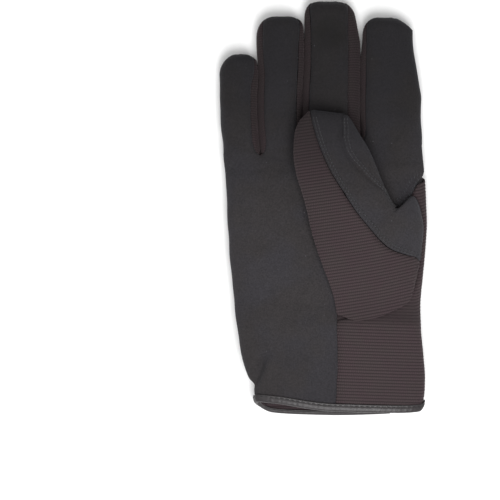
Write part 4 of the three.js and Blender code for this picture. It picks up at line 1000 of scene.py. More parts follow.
# marks along the edge of the second layer, and along the dip beside it
PATCH_EDGE = [(342, 108), (341.5, 120), (341.5, 140), (344, 151), (350, 160), (360, 171), (370, 181),
              (380, 189.5), (387, 196), (396, 204)]
DIP_EDGE = [(x - 1.2, y) for x, y in PATCH_EDGE[1:8]]
BACK_WRAP, UNDER_WRAP, WRAP_ROWS = .14, .22, 3


def thumb_front_height(points):
    """The suede dips beside the edge of the layer that is sewn on it."""
    return thumb_height(points) + fold(points, DIP_EDGE, 1.3, .8, .08)


def seam_step(row):
    """How far each panel stands back from the seam between them, a little more at the tip."""
    return .004 + .03 * np.maximum(1 - row, 0)


def thumb_back_surface(row, share):
    wrap = 1 + BACK_WRAP * smoothstep(LAST_UNDER - row, 0, WRAP_ROWS)
    return thumb_point(row, lerp(-wrap, thumb_seam_place(row) - seam_step(row), share))


def thumb_front_surface(row, share):
    return thumb_point(row, lerp(thumb_seam_place(row) + seam_step(row), 1, share))


def thumb_under_surface(row, share):
    return thumb_point(row, lerp(1, 3 - UNDER_WRAP * smoothstep(LAST_UNDER - row, 0, WRAP_ROWS), share))


THUMB_TIP_STEPS = np.array([0, .02, .05, .1, .17, .27, .4, .55, .75, 1])
ribbed_side = rib_patch(thumb_back_surface, (0, BASE_ROW), spread(0, 1, 26), thumb_ribs, thumb_height,
                        THUMB_RIB, ("last_col",))
thumb_back = cloth("thumb_ribbed", [ribbed_side], RIBBED_WALL, "ribbed", node="thumb_back")
upper_rows = np.r_[THUMB_TIP_STEPS, spread(1, 11.8, 96)[1:]]
under_rows = np.r_[THUMB_TIP_STEPS, spread(1, 9, 50)[1:]]
thumb_front = cloth("thumb_suede", [
    even_patch(thumb_front_surface, upper_rows, spread(0, 1, 34), thumb_front_height, ("first_col",)),
    even_patch(thumb_under_surface, under_rows, spread(0, 1, 26), flat_height),
], SUEDE_WALL, "suede", node="thumb_front")

# %% Second layer on the thumb
PATCH_WRAP, PATCH_LIFT, PATCH_LIMIT = 1.12, 1.0, .94


def patch_shares():
    """Where the marked edge crosses each row, as a share of the way from the seam to the right side."""
    marks = np.array([at_mark(*mark) for mark in PATCH_EDGE])[::-1]
    rows, way = np.arange(.25, 8.1, .25), np.linspace(0, 1, 80)
    row, share = np.meshgrid(rows, way, indexing="ij")
    places = thumb_point(row, lerp(thumb_seam_place(row), 1, share)) + SHIFT
    past = places[..., 0] > np.interp(places[..., 1], marks[:, 1], marks[:, 0])
    shares = np.where(past.any(1), way[past.argmax(1)], 1)
    print("edge of the second layer, shares:", np.round(shares[::4], 2).tolist())
    return curve(rows, np.minimum(shares, PATCH_LIMIT))


patch_share = patch_shares()


def patch_surface(row, share):
    start = lerp(thumb_seam_place(row), 1, patch_share(row))
    return thumb_point(row, lerp(start, PATCH_WRAP, share))


layer = even_patch(patch_surface, spread(.5, 6.4, 60), spread(0, 1, 22),
                   lambda p: thumb_height(p) + PATCH_LIFT, ("first_col",))
overlay = cloth("thumb_patch_suede", [layer], THIN_WALL, "suede", node="thumb_patch")

# %% [markdown]
# ## Bindings
# The opening, the slit and the strap tab are edged with a thin glossy tape, folded over the cut edge
# and sewn through. The tape is swept along the edge with a rounded section that dips at its stitches,
# and it is a little uneven along its length, as sewn tape is.

# %% Swept tape
# across the tape, as a share of the way from its lip to its nose; depths in mm
DIP_AT, DIP_WIDTH, DIP_DEPTH, SWELL_HEIGHT = .3, .13, .22, .16
NOSE_FLAT, LIP_TURN, LIP_SHARE = .35, .25, .02
# lengths of the tape's unevenness in mm, and the share of each
TAPE_WAVES = ((23, .5), (9, .6), (4.1, .5), (2.3, .3))


def tape_section(wall, skin, lap, nose, inner=None, count=9):
    """A folded tape round an edge, from its front lip round the nose to its back lip. inner: how far
    the back lip reaches, where that is less than the front one."""
    inner = lap if inner is None else inner
    outer = SEAM_GAP + skin
    across = np.linspace(0, 1, count)
    past = across - DIP_AT
    dip = (-DIP_DEPTH * np.exp(-(past / DIP_WIDTH) ** 2)
           + SWELL_HEIGHT * np.sin(np.pi * np.clip(past / (1 - DIP_AT), 0, 1)))
    flat = nose * NOSE_FLAT
    front = [(outer + d - LIP_TURN * (a < LIP_SHARE), lerp(-lap, flat, a)) for a, d in zip(across, dip)]
    turn = np.linspace(0, np.pi, 9)[1:-1]
    middle, half = -wall / 2, wall / 2 + outer
    round_nose = [(middle + half * math.cos(t), flat + nose * (1 - NOSE_FLAT) * math.sin(t)) for t in turn]
    back = [(-wall - outer - d, lerp(flat, -inner, a)) for a, d in zip(across, dip[::-1])]
    inside = [(-wall - SEAM_GAP, -inner), (-wall - SEAM_GAP, SEAM_GAP), (SEAM_GAP, SEAM_GAP),
              (SEAM_GAP, -lap)]
    return np.array(front + round_nose + back + inside)


def closed_outward(mesh, flat_ends=False):
    """Turns the faces outward and smooths them. flat_ends leaves the closing faces flat."""
    bm = bmesh.new()
    bm.from_mesh(mesh)
    bmesh.ops.recalc_face_normals(bm, faces=bm.faces)
    for face in bm.faces:
        face.smooth = len(face.verts) == 4 or not flat_ends
    bm.to_mesh(mesh)
    bm.free()


def sweep(name, origin, away, out, section, rough, seed, node):
    """A section carried along frames. rough: how uneven the tape is at each frame, in mm."""
    draw = np.random.default_rng(seed)
    run = np.r_[0, np.cumsum(np.linalg.norm(np.diff(origin, axis=0), axis=1))]
    frames, size = len(origin), len(section)
    points = (origin[:, None] + section[None, :, :1] * away[:, None] + section[None, :, 1:] * out[:, None])
    push = np.zeros((frames, size))
    for pitch, share in TAPE_WAVES:
        phases = draw.uniform(0, 2 * np.pi, size - 4)
        steady = np.convolve(np.r_[phases, phases[:4]], np.ones(5) / 5, "valid")
        push[:, :size - 4] += share * np.sin(2 * np.pi * run[:, None] / pitch + steady)
    push *= np.broadcast_to(rough, frames)[:, None]
    outer_side = (section[:, 0] > -.5)[None, :, None]
    points = points + np.where(outer_side, 1, -1) * push[..., None] * away[:, None]
    faces = []
    for i in range(frames - 1):
        for j in range(size):
            a, b = i * size + j, i * size + (j + 1) % size
            faces.append((a, b, b + size, a + size))
    faces.append(tuple(range(size)))
    faces.append(tuple((frames - 1) * size + j for j in reversed(range(size))))
    mesh = bpy.data.meshes.new(name)
    mesh.from_pydata((points.reshape(-1, 3) * .001).tolist(), [], faces)
    uv = mesh.uv_layers.new(name="weave")
    flat_run = np.repeat(run, size)
    flat_across = np.tile(section[:, 1], frames)
    index = np.zeros(len(mesh.loops), int)
    mesh.loops.foreach_get("vertex_index", index)
    uv.data.foreach_set("uv", np.stack([flat_run[index], flat_across[index]], -1).astype(np.float32).ravel())
    closed_outward(mesh, flat_ends=True)
    finish_piece(new_piece(name, mesh, "binding"), node)


def unit(vectors):
    return vectors / np.linalg.norm(vectors, axis=-1, keepdims=True)


# %% Tape round the opening
HEM_SIZES = (HEM["skin"], HEM["lap"], HEM["nose"])
HEM_INNER_LAP, HEM_FRAMES = .8, 420
PINCH_PLACE, PINCH_WIDTH = -1.05, .16


def hem_frames(places):
    side = places >= 1
    down = hem_down(signed_place(places))

    def at(place, depth):
        place = signed_place(place)
        return np.where(side[:, None], hand_point(place, depth, True), hand_point(place, depth))
    origin = at(places, down)
    out = unit(origin - at(places, down - HEM["lap"] / HAND))
    around = at(places + .01, down) - at(places - .01, down)
    return origin + SHIFT, unit(np.cross(out, around)), out


def slit_hem_place(offset, side):
    down = hem_down(1.5)
    x = hand_x(slit_across_down(1), down) + offset
    return float(place_of(hand_section(-down * HAND, side), x, False))


hem_start = slit_hem_place(SLIT_LAP + 2 * SEAM_GAP, True)
hem_end = slit_hem_place(-SLIT_WIDTH - HEM["lap"] - SEAM_GAP, False) - 4
hem_places = np.linspace(hem_start, hem_end, HEM_FRAMES)
hem_origin, hem_away, hem_out = hem_frames(hem_places)
hem_rough = .035 + .16 * np.exp(-((hem_places - PINCH_PLACE) / PINCH_WIDTH) ** 2)
sweep("hem_binding_tape", hem_origin, hem_away, hem_out, tape_section(WALL, *HEM_SIZES, HEM_INNER_LAP),
      hem_rough, 4, "hem_binding")

# %% Tape of the slit
SLIT_SIZES = (HEM["skin"], SLIT_LAP, SLIT_WIDTH - SEAM_GAP)
SLIT_SPAN, SLIT_FRAMES = (7.25, 11.98), 104


def slit_frames(rows):
    def at(row, col):
        return back_point(np.minimum(row, BACK_END_ROW), np.full(np.shape(row), float(col)), True)
    origin = at(rows, SLIT_COL)
    out = unit(origin - at(rows, SLIT_COL - .1))
    along = at(rows + .05, SLIT_COL) - at(rows - .05, SLIT_COL)
    return origin + SHIFT, unit(np.cross(along, out)), out


slit_origin, slit_away, slit_out = slit_frames(np.linspace(*SLIT_SPAN, SLIT_FRAMES))
sweep("slit_binding_tape", slit_origin, slit_away, slit_out, tape_section(WALL, *SLIT_SIZES), .05, 6,
      "slit_binding")

# %% [markdown]
# ## Strap tab
# The tab closes the wrist at the back, so it lies under the glove. Its face is one bare piece of
# grained leather, edged with the same tape, and a hook pad holds it to the back of the hand.

# %% Tab
TAB_HALF = STRAP["width"] / 2 - BINDING["nose"]
TAB_REACH = STRAP["length"] - BINDING["nose"]
TAB_CORNER = .72 * TAB_HALF
TAB_BOTTOM = BINDING["skin"] + SEAM_GAP
tab_axis = np.array([-math.cos(STRAP["tilt"]), -math.sin(STRAP["tilt"])])
tab_across = np.array([tab_axis[1], -tab_axis[0]])


def slit_mouth(y):
    """The x of the slit's edge on the side of the tab."""
    down = -y / HAND
    return hand_x(slit_across_down(down), down) - SLIT_WIDTH - SEAM_GAP


tab_middle = -STRAP["middle"] * HAND
tab_root = np.array([float(slit_mouth(tab_middle)), tab_middle])


def tab_end(offset):
    """How far along its axis the tab reaches, at an offset from its middle line."""
    past = np.maximum(np.abs(offset) - (TAB_HALF - TAB_CORNER), 0)
    return TAB_REACH - TAB_CORNER + np.sqrt(np.maximum(TAB_CORNER ** 2 - past ** 2, 0))


def tab_plan(along, offset):
    return tab_root + np.multiply.outer(along, tab_axis) + np.multiply.outer(offset, tab_across)


def tab_start(offset):
    """Where the tab comes out of the slit, at an offset from its middle line."""
    y = tab_plan(np.zeros_like(offset), offset)[..., 1]
    return (tab_root[0] - slit_mouth(y) + SEAM_GAP) / math.cos(STRAP["tilt"])


def tab_surface(row, col):
    offset = col * TAB_HALF
    along = lerp(tab_start(offset), tab_end(offset), row)
    xy = tab_root + along[..., None] * tab_axis + offset[..., None] * tab_across
    return np.concatenate([xy, np.full(along.shape + (1,), TAB_BOTTOM)], -1)


across = np.sin(np.linspace(-np.pi / 2, np.pi / 2, 44))
tab_patch = even_patch(tab_surface, spread(0, 1, 70), across,
                       lambda p: .12 * waves(p, 14, 1, 8) - .1, ("first_col", "last_col", "last_row"))
cloth("strap_tab_leather", [tab_patch], STRAP["thick"] - .1, "strap", node="wrist_strap")

# %% Tape and pad of the tab
FLANK_STEPS = 49
TAB_SIZES = (BINDING["skin"], BINDING["lap"], BINDING["nose"])
bend = np.linspace(0, np.pi / 2, 26)
flank, straight = TAB_HALF - TAB_CORNER, TAB_REACH - TAB_CORNER
half_along = np.r_[spread(1, straight, FLANK_STEPS)[:-1], straight + TAB_CORNER * np.sin(bend)]
half_offset = np.r_[np.full(FLANK_STEPS, TAB_HALF), flank + TAB_CORNER * np.cos(bend)]
edge_along = np.r_[half_along, half_along[::-1][1:]]
edge_offset = np.r_[half_offset, -half_offset[::-1][1:]]
edge_xy = tab_root + edge_along[:, None] * tab_axis + edge_offset[:, None] * tab_across
flow = unit(np.gradient(edge_xy, axis=0))
edge_out = np.stack([flow[:, 1], -flow[:, 0]], -1)
centre_xy = edge_xy.mean(0)
edge_out *= np.sign(((edge_xy - centre_xy) * edge_out).sum(-1))[:, None]
level = np.zeros((len(edge_xy), 1))
tab_frames = (np.c_[edge_xy, level + TAB_BOTTOM] + SHIFT, np.c_[level, level, level - 1],
              np.c_[edge_out, level])
sweep("strap_binding_tape", *tab_frames, tape_section(STRAP["thick"], *TAB_SIZES), .03, 9, "strap_binding")

PAD_LENGTH, PAD_WIDTH = 30, 22
PAD_Z = TAB_BOTTOM + STRAP["thick"] + SEAM_GAP
PAD_CENTRE = tab_root + tab_axis * STRAP["length"] * .5


def pad_surface(row, col):
    xy = PAD_CENTRE + row[..., None] * PAD_LENGTH * tab_axis + col[..., None] * PAD_WIDTH * tab_across
    return np.concatenate([xy, np.full(row.shape + (1,), PAD_Z)], -1)


pad_patch = even_patch(pad_surface, spread(-.5, .5, 40), spread(-.5, .5, 30),
                       lambda p: .05 * waves(p, 5, 1, 15),
                       ("first_row", "last_row", "first_col", "last_col"))
cloth("fastener_pad_hooks", [pad_patch], PAD_THICK, "pad", node="fastener_pad")

# %% [markdown]

# %% [markdown]
# ## Thread
# Stitches catch the light, and on the suede a small dark dot of painted shade marks the needle hole
# between each two. A row on the suede follows its seam at a set distance and is seated on the finished
# cloth by a ray. A row on the tape lies in the tape's own dip. Every stitch is a small rounded loop that
# dips in at both ends.

# %% Seating points on cloth
def seat(piece, xy, below=False):
    """The places and normals where a plumb line through each plan point meets a piece."""
    places, normals = [], []
    start, way = (-.02, 1) if below else (.08, -1)
    for x, y in xy * .001:
        hit, place, normal, _ = piece.ray_cast(Vector((x, y, start)), Vector((0, 0, way)))
        if hit:
            places.append(np.array(place) * 1000)
            normals.append(np.array(normal))
    return np.array(places), np.array(normals)


def evenly(line, pitch):
    """A line's points again, one each pitch, in mm."""
    run = np.r_[0, np.cumsum(np.linalg.norm(np.diff(line, axis=0), axis=1))]
    marks = np.arange(pitch / 2, run[-1], pitch)
    return np.stack([np.interp(marks, run, line[:, k]) for k in range(line.shape[1])], -1)


def beside(surface, rows, cols, distance, from_end=False):
    """A line on a surface at a distance in mm from its first or last column."""
    row, col = np.meshgrid(rows, cols, indexing="ij")
    points = surface(row, col) + SHIFT
    away = arc_from(points, 1, from_end)
    line = []
    for track, point in zip(away, points):
        order = np.argsort(track)
        line.append([np.interp(distance, track[order], point[order, k]) for k in range(3)])
    return np.array(line)


# %% Stitch loops
RING = np.linspace(0, 2 * np.pi, 7)[:-1]


def loops(name, runs, length, width, rise, material):
    """runs: a list of (centres, directions, normals). One mesh of all the stitches in them."""
    spans = np.array([-.5, -.36, 0, .36, .5])
    girth = np.array([.25, .8, 1, .8, .25])
    lift = np.array([-.9, -.1, .35, -.1, -.9])
    points, faces = [], []
    for centres, ways, normals in runs:
        normals = unit(normals)
        ways = unit(ways - (ways * normals).sum(-1, keepdims=True) * normals)
        sides = np.cross(normals, ways)
        for centre, way, side, normal in zip(centres, ways, sides, normals):
            first = len(points)
            for span, fat, up in zip(spans, girth, lift):
                middle = centre + way * span * length + normal * up * rise
                for t in RING:
                    points.append(middle + fat * width / 2 * (math.cos(t) * side + math.sin(t) * normal))
            for i in range(len(spans) - 1):
                for j in range(len(RING)):
                    a, b = first + i * len(RING) + j, first + i * len(RING) + (j + 1) % len(RING)
                    faces.append((a, b, b + len(RING), a + len(RING)))
            faces.append(tuple(first + j for j in reversed(range(len(RING)))))
            faces.append(tuple(first + (len(spans) - 1) * len(RING) + j for j in range(len(RING))))
    mesh = bpy.data.meshes.new(name)
    mesh.from_pydata((np.array(points) * .001).tolist(), [], faces)
    closed_outward(mesh)
    finish_piece(new_piece(name, mesh, material), None)


def row_on(piece, line, pitch, below=False, lean=0):
    """Centres, directions and normals of a row of stitches along a line over a piece."""
    marks = evenly(line[:, :2], pitch)
    ways = np.gradient(marks, axis=0)
    places, normals = seat(piece, marks, below)
    if len(places) != len(marks):
        keep = min(len(places), len(marks))
        places, normals, ways = places[:keep], normals[:keep], ways[:keep]
    turn = math.radians(lean)
    ways = np.c_[ways[:, 0] * math.cos(turn) - ways[:, 1] * math.sin(turn),
                 ways[:, 0] * math.sin(turn) + ways[:, 1] * math.cos(turn), np.zeros(len(ways))]
    return places, ways, normals


def between(run):
    """The places between the stitches of a run, where the painted shade of the needle holes lies."""
    places, ways, normals = run
    return (places[:-1] + places[1:]) / 2, ways[:-1], normals[:-1]


# %% Rows of stitches on the suede
# in mm, how far apart stitches are on suede and on tape; the lean of the band's, in degrees; and how
# far inside the edge of a cap they lie
STITCH, TAPE_STITCH, BAND_LEAN, CAP_INSET = 2.1, 3.1, 62, 1.9
seam_rows = [beside(thumb_front_surface, spread(.7, 11.5, 160), spread(0, 1, 30), d) for d in (1.3, 3.0)]
seam_runs = [row_on(thumb_front, line, STITCH) for line in seam_rows]
layer_rows = [beside(patch_surface, spread(.7, 6.2, 120), spread(0, 1, 30), d) for d in (1.2, 3.2)]
layer_runs = [row_on(overlay, line, STITCH) for line in layer_rows]
band_cols = spread(LAST - 8, LAST, 60)
band_rows = [beside(palm_point, spread(1.1, 3.4, 80), band_cols, d, True) for d in (1.2, 5.4)]
band_runs = [row_on(palm, line, STITCH, lean=BAND_LEAN) for line in band_rows]
loops("band_stitches", band_runs, 2.3, .55, .22, "thread")
cap_runs = []
for cap, index in zip(caps, (1, 2, 3)):
    end = finger_share(index, CAP - SEAM_GAP - CAP_INSET)
    line = finger_surface(index, False, np.full(60, end), spread(.1, .9, 59)) + SHIFT
    cap_runs.append(row_on(cap, line, STITCH, below=True))
suede_runs = seam_runs + layer_runs + cap_runs
loops("suede_stitches", suede_runs, 1.25, .6, .2, "thread")
# painted shade: a small flat dark dot between each two stitches stands for the shade in the needle hole
hole_shade_runs = [between(run) for run in suede_runs]
loops("needle_hole_shade", hole_shade_runs, .8, .7, .06, "hole_shade")

# %% Rows of stitches on the tape
def tape_run(origin, away, out, skin, lap, nose):
    """A row of stitches in the dip of a tape."""
    depth = lerp(-lap, nose * NOSE_FLAT, DIP_AT)
    line = origin + away * (SEAM_GAP + skin - .12) + out * depth
    run = np.r_[0, np.cumsum(np.linalg.norm(np.diff(line, axis=0), axis=1))]
    marks = np.arange(TAPE_STITCH, run[-1] - TAPE_STITCH, TAPE_STITCH)
    centres, normals = (np.stack([np.interp(marks, run, v[:, k]) for k in range(3)], -1)
                        for v in (line, away))
    return centres, np.gradient(centres, axis=0), normals


tape_runs = [
    tape_run(hem_origin, hem_away, hem_out, *HEM_SIZES),
    tape_run(slit_origin, slit_away, slit_out, *SLIT_SIZES),
    tape_run(*tab_frames, *TAB_SIZES),
]
loops("tape_stitches", tape_runs, 2.2, .5, .16, "dark_thread")

# %% [markdown]
# ## Materials
# Every finish here is built from the same few effects, so each effect is a node group with its own
# inputs: soft tone (cloudy shade and fine fleck), painted falloff (painted shade towards the fingertips,
# where the light weakens), lint (rare bright specks) and hide (the pebbled surface of coated leather).
# They work in millimetres on the object, so they keep their scale.

# %% Node helpers
def node(tree, kind, inputs=None, **settings):
    made = tree.nodes.new("ShaderNode" + kind)
    for key, value in settings.items():
        setattr(made, key, value)
    for key, value in (inputs or {}).items():
        if isinstance(value, bpy.types.NodeSocket):
            tree.links.new(value, made.inputs[key])
        else:
            made.inputs[key].default_value = value
    return made


def weave_of(tree):
    """The cloth's own map: how far along a rib or tape, and which rib or how far across."""
    return node(tree, "SeparateXYZ", {0: node(tree, "UVMap", uv_map="weave").outputs[0]}).outputs


def maths(tree, operation, *values, clamp=False):
    return node(tree, "Math", dict(enumerate(values)), operation=operation, use_clamp=clamp).outputs[0]


def ramp(tree, value, low, high, start=0., end=1.):
    """A value mapped smoothly from low..high to start..end."""
    return node(tree, "MapRange", {"Value": value, "From Min": low, "From Max": high, "To Min": start,
                                   "To Max": end}, interpolation_type="SMOOTHSTEP").outputs["Result"]


def noise(tree, vector, size, detail=2., rough=.5):
    """Soft noise. size is the length of its clouds in mm, as a number or a socket."""
    linked = isinstance(size, bpy.types.NodeSocket)
    scale = maths(tree, "DIVIDE", 1., size) if linked else 1 / size
    return node(tree, "TexNoise", {"Vector": vector, "Scale": scale, "Detail": detail,
                                   "Roughness": rough}).outputs["Fac"]


def in_mm(tree):
    """The place on the object, in millimetres."""
    place = node(tree, "TexCoord").outputs["Object"]
    return node(tree, "VectorMath", {0: place, "Scale": 1000.}, operation="SCALE").outputs[0]


def shaded(tree, colour, factor):
    """A colour times a value."""
    return node(tree, "VectorMath", {0: colour, "Scale": factor}, operation="SCALE").outputs[0]


def new_group(name, inputs, outputs):
    tree = bpy.data.node_groups.new(name, "ShaderNodeTree")
    for label, value in inputs.items():
        kind = "NodeSocketColor" if isinstance(value, tuple) else "NodeSocketFloat"
        tree.interface.new_socket(label, in_out="INPUT", socket_type=kind).default_value = value
    for label in outputs:
        kind = "NodeSocketColor" if label == "Colour" else "NodeSocketFloat"
        tree.interface.new_socket(label, in_out="OUTPUT", socket_type=kind)
    return tree, tree.nodes.new("NodeGroupInput").outputs, tree.nodes.new("NodeGroupOutput").inputs


def placed(tree, group, **values):
    """A node group in use. An underscore in a name stands for a space."""
    made = tree.nodes.new("ShaderNodeGroup")
    made.node_tree = group
    for key, value in values.items():
        socket = made.inputs[key.replace("_", " ")]
        if isinstance(value, bpy.types.NodeSocket):
            tree.links.new(value, socket)
        else:
            socket.default_value = value
    return made.outputs


# %% Soft tone with cloudy shade and fine fleck
soft_tone, given, out = new_group(
    "soft_tone", {"Colour": (.05, .05, .05, 1.), "Cloud size": 30., "Cloud": .1, "Fleck size": .8,
                  "Fleck": .1}, ("Colour", "Height"))
where = in_mm(soft_tone)
cloud = noise(soft_tone, where, given["Cloud size"], 3.)
fleck = noise(soft_tone, where, given["Fleck size"], 3., .65)
swing = maths(soft_tone, "MULTIPLY", maths(soft_tone, "SUBTRACT", cloud, .5), given["Cloud"])
speck = maths(soft_tone, "MULTIPLY", maths(soft_tone, "SUBTRACT", fleck, .5), given["Fleck"])
level = maths(soft_tone, "ADD", 1., maths(soft_tone, "MULTIPLY", 4., maths(soft_tone, "ADD", swing, speck)))
soft_tone.links.new(shaded(soft_tone, given["Colour"], level), out["Colour"])
soft_tone.links.new(fleck, out["Height"])

# %% Painted falloff: painted shade that darkens the cloth from the heel of the hand towards the fingertips, as the light from the cuff side weakens
painted_falloff, given, out = new_group("painted_falloff", {"Heel": -70., "Fingers": 60., "Least": .6}, ("Value",))
height = node(painted_falloff, "SeparateXYZ", {0: in_mm(painted_falloff)}).outputs[1]
drift = maths(painted_falloff, "MULTIPLY", maths(painted_falloff, "SUBTRACT", noise(painted_falloff, in_mm(painted_falloff), 40.), .5), 50.)
share = node(painted_falloff, "MapRange", {"Value": maths(painted_falloff, "ADD", height, drift), "From Min": given["Heel"],
                                   "From Max": given["Fingers"], "To Min": 1., "To Max": given["Least"]},
             interpolation_type="SMOOTHSTEP").outputs["Result"]
painted_falloff.links.new(share, out["Value"])

# %% Lint in rare bright specks
lint, given, out = new_group("lint", {"Spacing": 6., "Radius": .35, "Share": .2}, ("Mask",))
density = maths(lint, "DIVIDE", 1., given["Spacing"])
cells = node(lint, "TexVoronoi", {"Vector": in_mm(lint), "Scale": density})
radius = maths(lint, "DIVIDE", given["Radius"], given["Spacing"])
dot = maths(lint, "SUBTRACT", 1., maths(lint, "DIVIDE", cells.outputs["Distance"], radius), clamp=True)
chosen = node(lint, "SeparateXYZ", {0: cells.outputs["Color"]}).outputs[0]
lint.links.new(maths(lint, "MULTIPLY", dot, maths(lint, "LESS_THAN", chosen, given["Share"])), out["Mask"])

# %% Hide with the pebbles and creases of coated leather
hide, given, out = new_group("hide", {"Pebble": 1., "Crease": .5}, ("Height", "Low"))
where = in_mm(hide)
warp = node(hide, "TexNoise", {"Vector": where, "Scale": .9}).outputs["Color"]
bent = node(hide, "VectorMath", {0: where, 1: shaded(hide, warp, 1.1)}, operation="ADD").outputs[0]
pebbles = node(hide, "TexVoronoi", {"Vector": bent, "Scale": maths(hide, "DIVIDE", 1., given["Pebble"]),
                                    "Smoothness": .6}, feature="SMOOTH_F1").outputs["Distance"]
wrinkle = noise(hide, where, 5., 4., .6)
swerve = maths(hide, "ABSOLUTE", maths(hide, "SUBTRACT", wrinkle, .5))
crease = maths(hide, "MULTIPLY", swerve, 6., clamp=True)
bumps = maths(hide, "SUBTRACT", 1., pebbles)
hide.links.new(maths(hide, "ADD", bumps, maths(hide, "MULTIPLY", crease, given["Crease"])), out["Height"])
hide.links.new(ramp(hide, pebbles, .35, .75), out["Low"])


# %% A material with its shader
def colours_mixed(tree, factor, first, second):
    return node(tree, "Mix", {0: factor, 6: first, 7: second}, data_type="RGBA").outputs[2]


def shader_of(name):
    """The node tree of a material and the inputs of its shader."""
    material = material_named(name)
    material.use_nodes = True
    return material.node_tree, material.node_tree.nodes["Principled BSDF"].inputs


def dressed(tree, sockets, colour, rough, height, depth, **constants):
    """Links the changing values and sets the constant ones. depth is the relief, in mm."""
    tree.links.new(colour, sockets["Base Color"])
    tree.links.new(rough, sockets["Roughness"])
    bump = node(tree, "Bump", {"Height": height, "Distance": depth * .001, "Strength": 1.})
    tree.links.new(bump.outputs[0], sockets["Normal"])
    for label, value in constants.items():
        sockets[label.replace("_", " ")].default_value = value


# %% Suede
tree, sockets = shader_of("suede")
tone = placed(tree, soft_tone, Colour=(.0256, .0229, .0236, 1.), Cloud_size=26., Cloud=.06, Fleck_size=.9,
              Fleck=.42)
brushed = placed(tree, soft_tone, Colour=tone["Colour"], Cloud_size=7., Cloud=.04, Fleck_size=2.2, Fleck=.06)
# painted shade: the suede darkens towards the fingertips, standing in for the light from the cuff side that
# weakens there
wear_and_painted_shade = shaded(tree, brushed["Colour"], placed(tree, painted_falloff, Heel=-20., Fingers=85., Least=.47)["Value"])
# the suede is also darker, by up to 14%, towards the hem
along = node(tree, "SeparateXYZ", {0: in_mm(tree)}).outputs[1]
wear_and_painted_shade = shaded(tree, wear_and_painted_shade, ramp(tree, along, -105., -45., .86, 1.))
cool = node(tree, "VectorMath", {0: wear_and_painted_shade, 1: (.96, 1., 1.1)}, operation="MULTIPLY").outputs[0]
hue = ramp(tree, noise(tree, in_mm(tree), 30., 3.), .38, .62)
# painted shade: the hollow of the middle fingertip is darkened in the colour, a little brownish, over its
# real dent
hollow_shade_place = (*at_mark(*HOLLOW_SHADE_MARK), 13.)
tip = node(tree, "VectorMath", {0: in_mm(tree), 1: hollow_shade_place}, operation="DISTANCE").outputs["Value"]
hollow_shade = maths(tree, "MULTIPLY", ramp(tree, tip, 4., 13., .95, 0.), noise(tree, in_mm(tree), 9., 3.))
with_hollow_shade = colours_mixed(tree, hollow_shade, colours_mixed(tree, hue, wear_and_painted_shade, cool), (.007, .0065, .0055, 1.))
specks = placed(tree, lint, Spacing=5.5, Radius=.36, Share=.3)["Mask"]
colour = colours_mixed(tree, maths(tree, "MULTIPLY", specks, .6), with_hollow_shade, (.15, .15, .17, 1.))
rough = ramp(tree, tone["Height"], .2, .8, .82, .98)
nap = maths(tree, "ADD", tone["Height"], maths(tree, "MULTIPLY", brushed["Height"], .8))
dressed(tree, sockets, colour, rough, nap, .3, Specular_IOR_Level=.15, Sheen_Weight=.08,
        Sheen_Roughness=.55, Sheen_Tint=(.55, .55, .62, 1.))

# %% Ribbed stretch cloth
tree, sockets = shader_of("ribbed")
weave = weave_of(tree)
rib = maths(tree, "ABSOLUTE", maths(tree, "SINE", maths(tree, "MULTIPLY", weave[1], math.pi)))
shift = maths(tree, "MULTIPLY", maths(tree, "FLOOR", weave[1]), 2.4)
uneven = noise(tree, in_mm(tree), 2.6, 2.)
turns = maths(tree, "MULTIPLY", weave[0], 2 * math.pi / 1.12)
bead = maths(tree, "SINE", maths(tree, "ADD", turns, maths(tree, "ADD", shift, maths(
    tree, "MULTIPLY", uneven, 5.))))
bead = maths(tree, "ADD", .5, maths(tree, "MULTIPLY", bead, .5))
tone = placed(tree, soft_tone, Colour=(.031, .021, .0233, 1.), Cloud_size=34., Cloud=.05, Fleck_size=1.1,
              Fleck=.1)
# painted shade: the colour darkens in the valleys between the ribs and brightens on their crests; the beads
# add the knit's own lighter pattern
valley_shade_and_beads = maths(tree, "ADD", ramp(tree, rib, .15, .9, .42, 1.05), maths(tree, "MULTIPLY", bead, .3))
# painted shade: the ribbed cloth darkens towards the fingertips, standing in for the light from the cuff
# side that weakens there
ribs = shaded(tree, shaded(tree, tone["Colour"], valley_shade_and_beads), placed(
    tree, painted_falloff, Heel=-10., Fingers=60., Least=.52)["Value"])
warm = colours_mixed(tree, ramp(tree, noise(tree, in_mm(tree), 9., 2.), .35, .65), ribs, node(
    tree, "VectorMath", {0: ribs, 1: (.98, 1.06, 1.)}, operation="MULTIPLY").outputs[0])
specks = placed(tree, lint, Spacing=9., Radius=.4, Share=.1)["Mask"]
colour = colours_mixed(tree, specks, warm, (.14, .12, .12, 1.))
height = maths(tree, "ADD", maths(tree, "MULTIPLY", bead, rib), maths(tree, "MULTIPLY", tone["Height"], .6))
dressed(tree, sockets, colour, ramp(tree, tone["Height"], .2, .8, .8, .97), height, .16,
        Specular_IOR_Level=.2, Sheen_Weight=.1, Sheen_Roughness=.5, Sheen_Tint=(.7, .55, .58, 1.))

# %% Glossy tape
tree, sockets = shader_of("binding")
weave = weave_of(tree)
tone = placed(tree, soft_tone, Colour=(.0203, .0174, .0184, 1.), Cloud_size=9., Cloud=.08, Fleck_size=.7,
              Fleck=.08)
pebbled = placed(tree, hide, Pebble=.5, Crease=.6)
stitches = maths(tree, "MULTIPLY", weave[0], 2 * math.pi / TAPE_STITCH)
drift = maths(tree, "MULTIPLY", noise(tree, in_mm(tree), 4., 2.), 6.)
pucker = maths(tree, "SINE", maths(tree, "ADD", stitches, drift))
height = maths(tree, "ADD", maths(tree, "MULTIPLY", pebbled["Height"], .5), maths(
    tree, "MULTIPLY", pucker, .45))
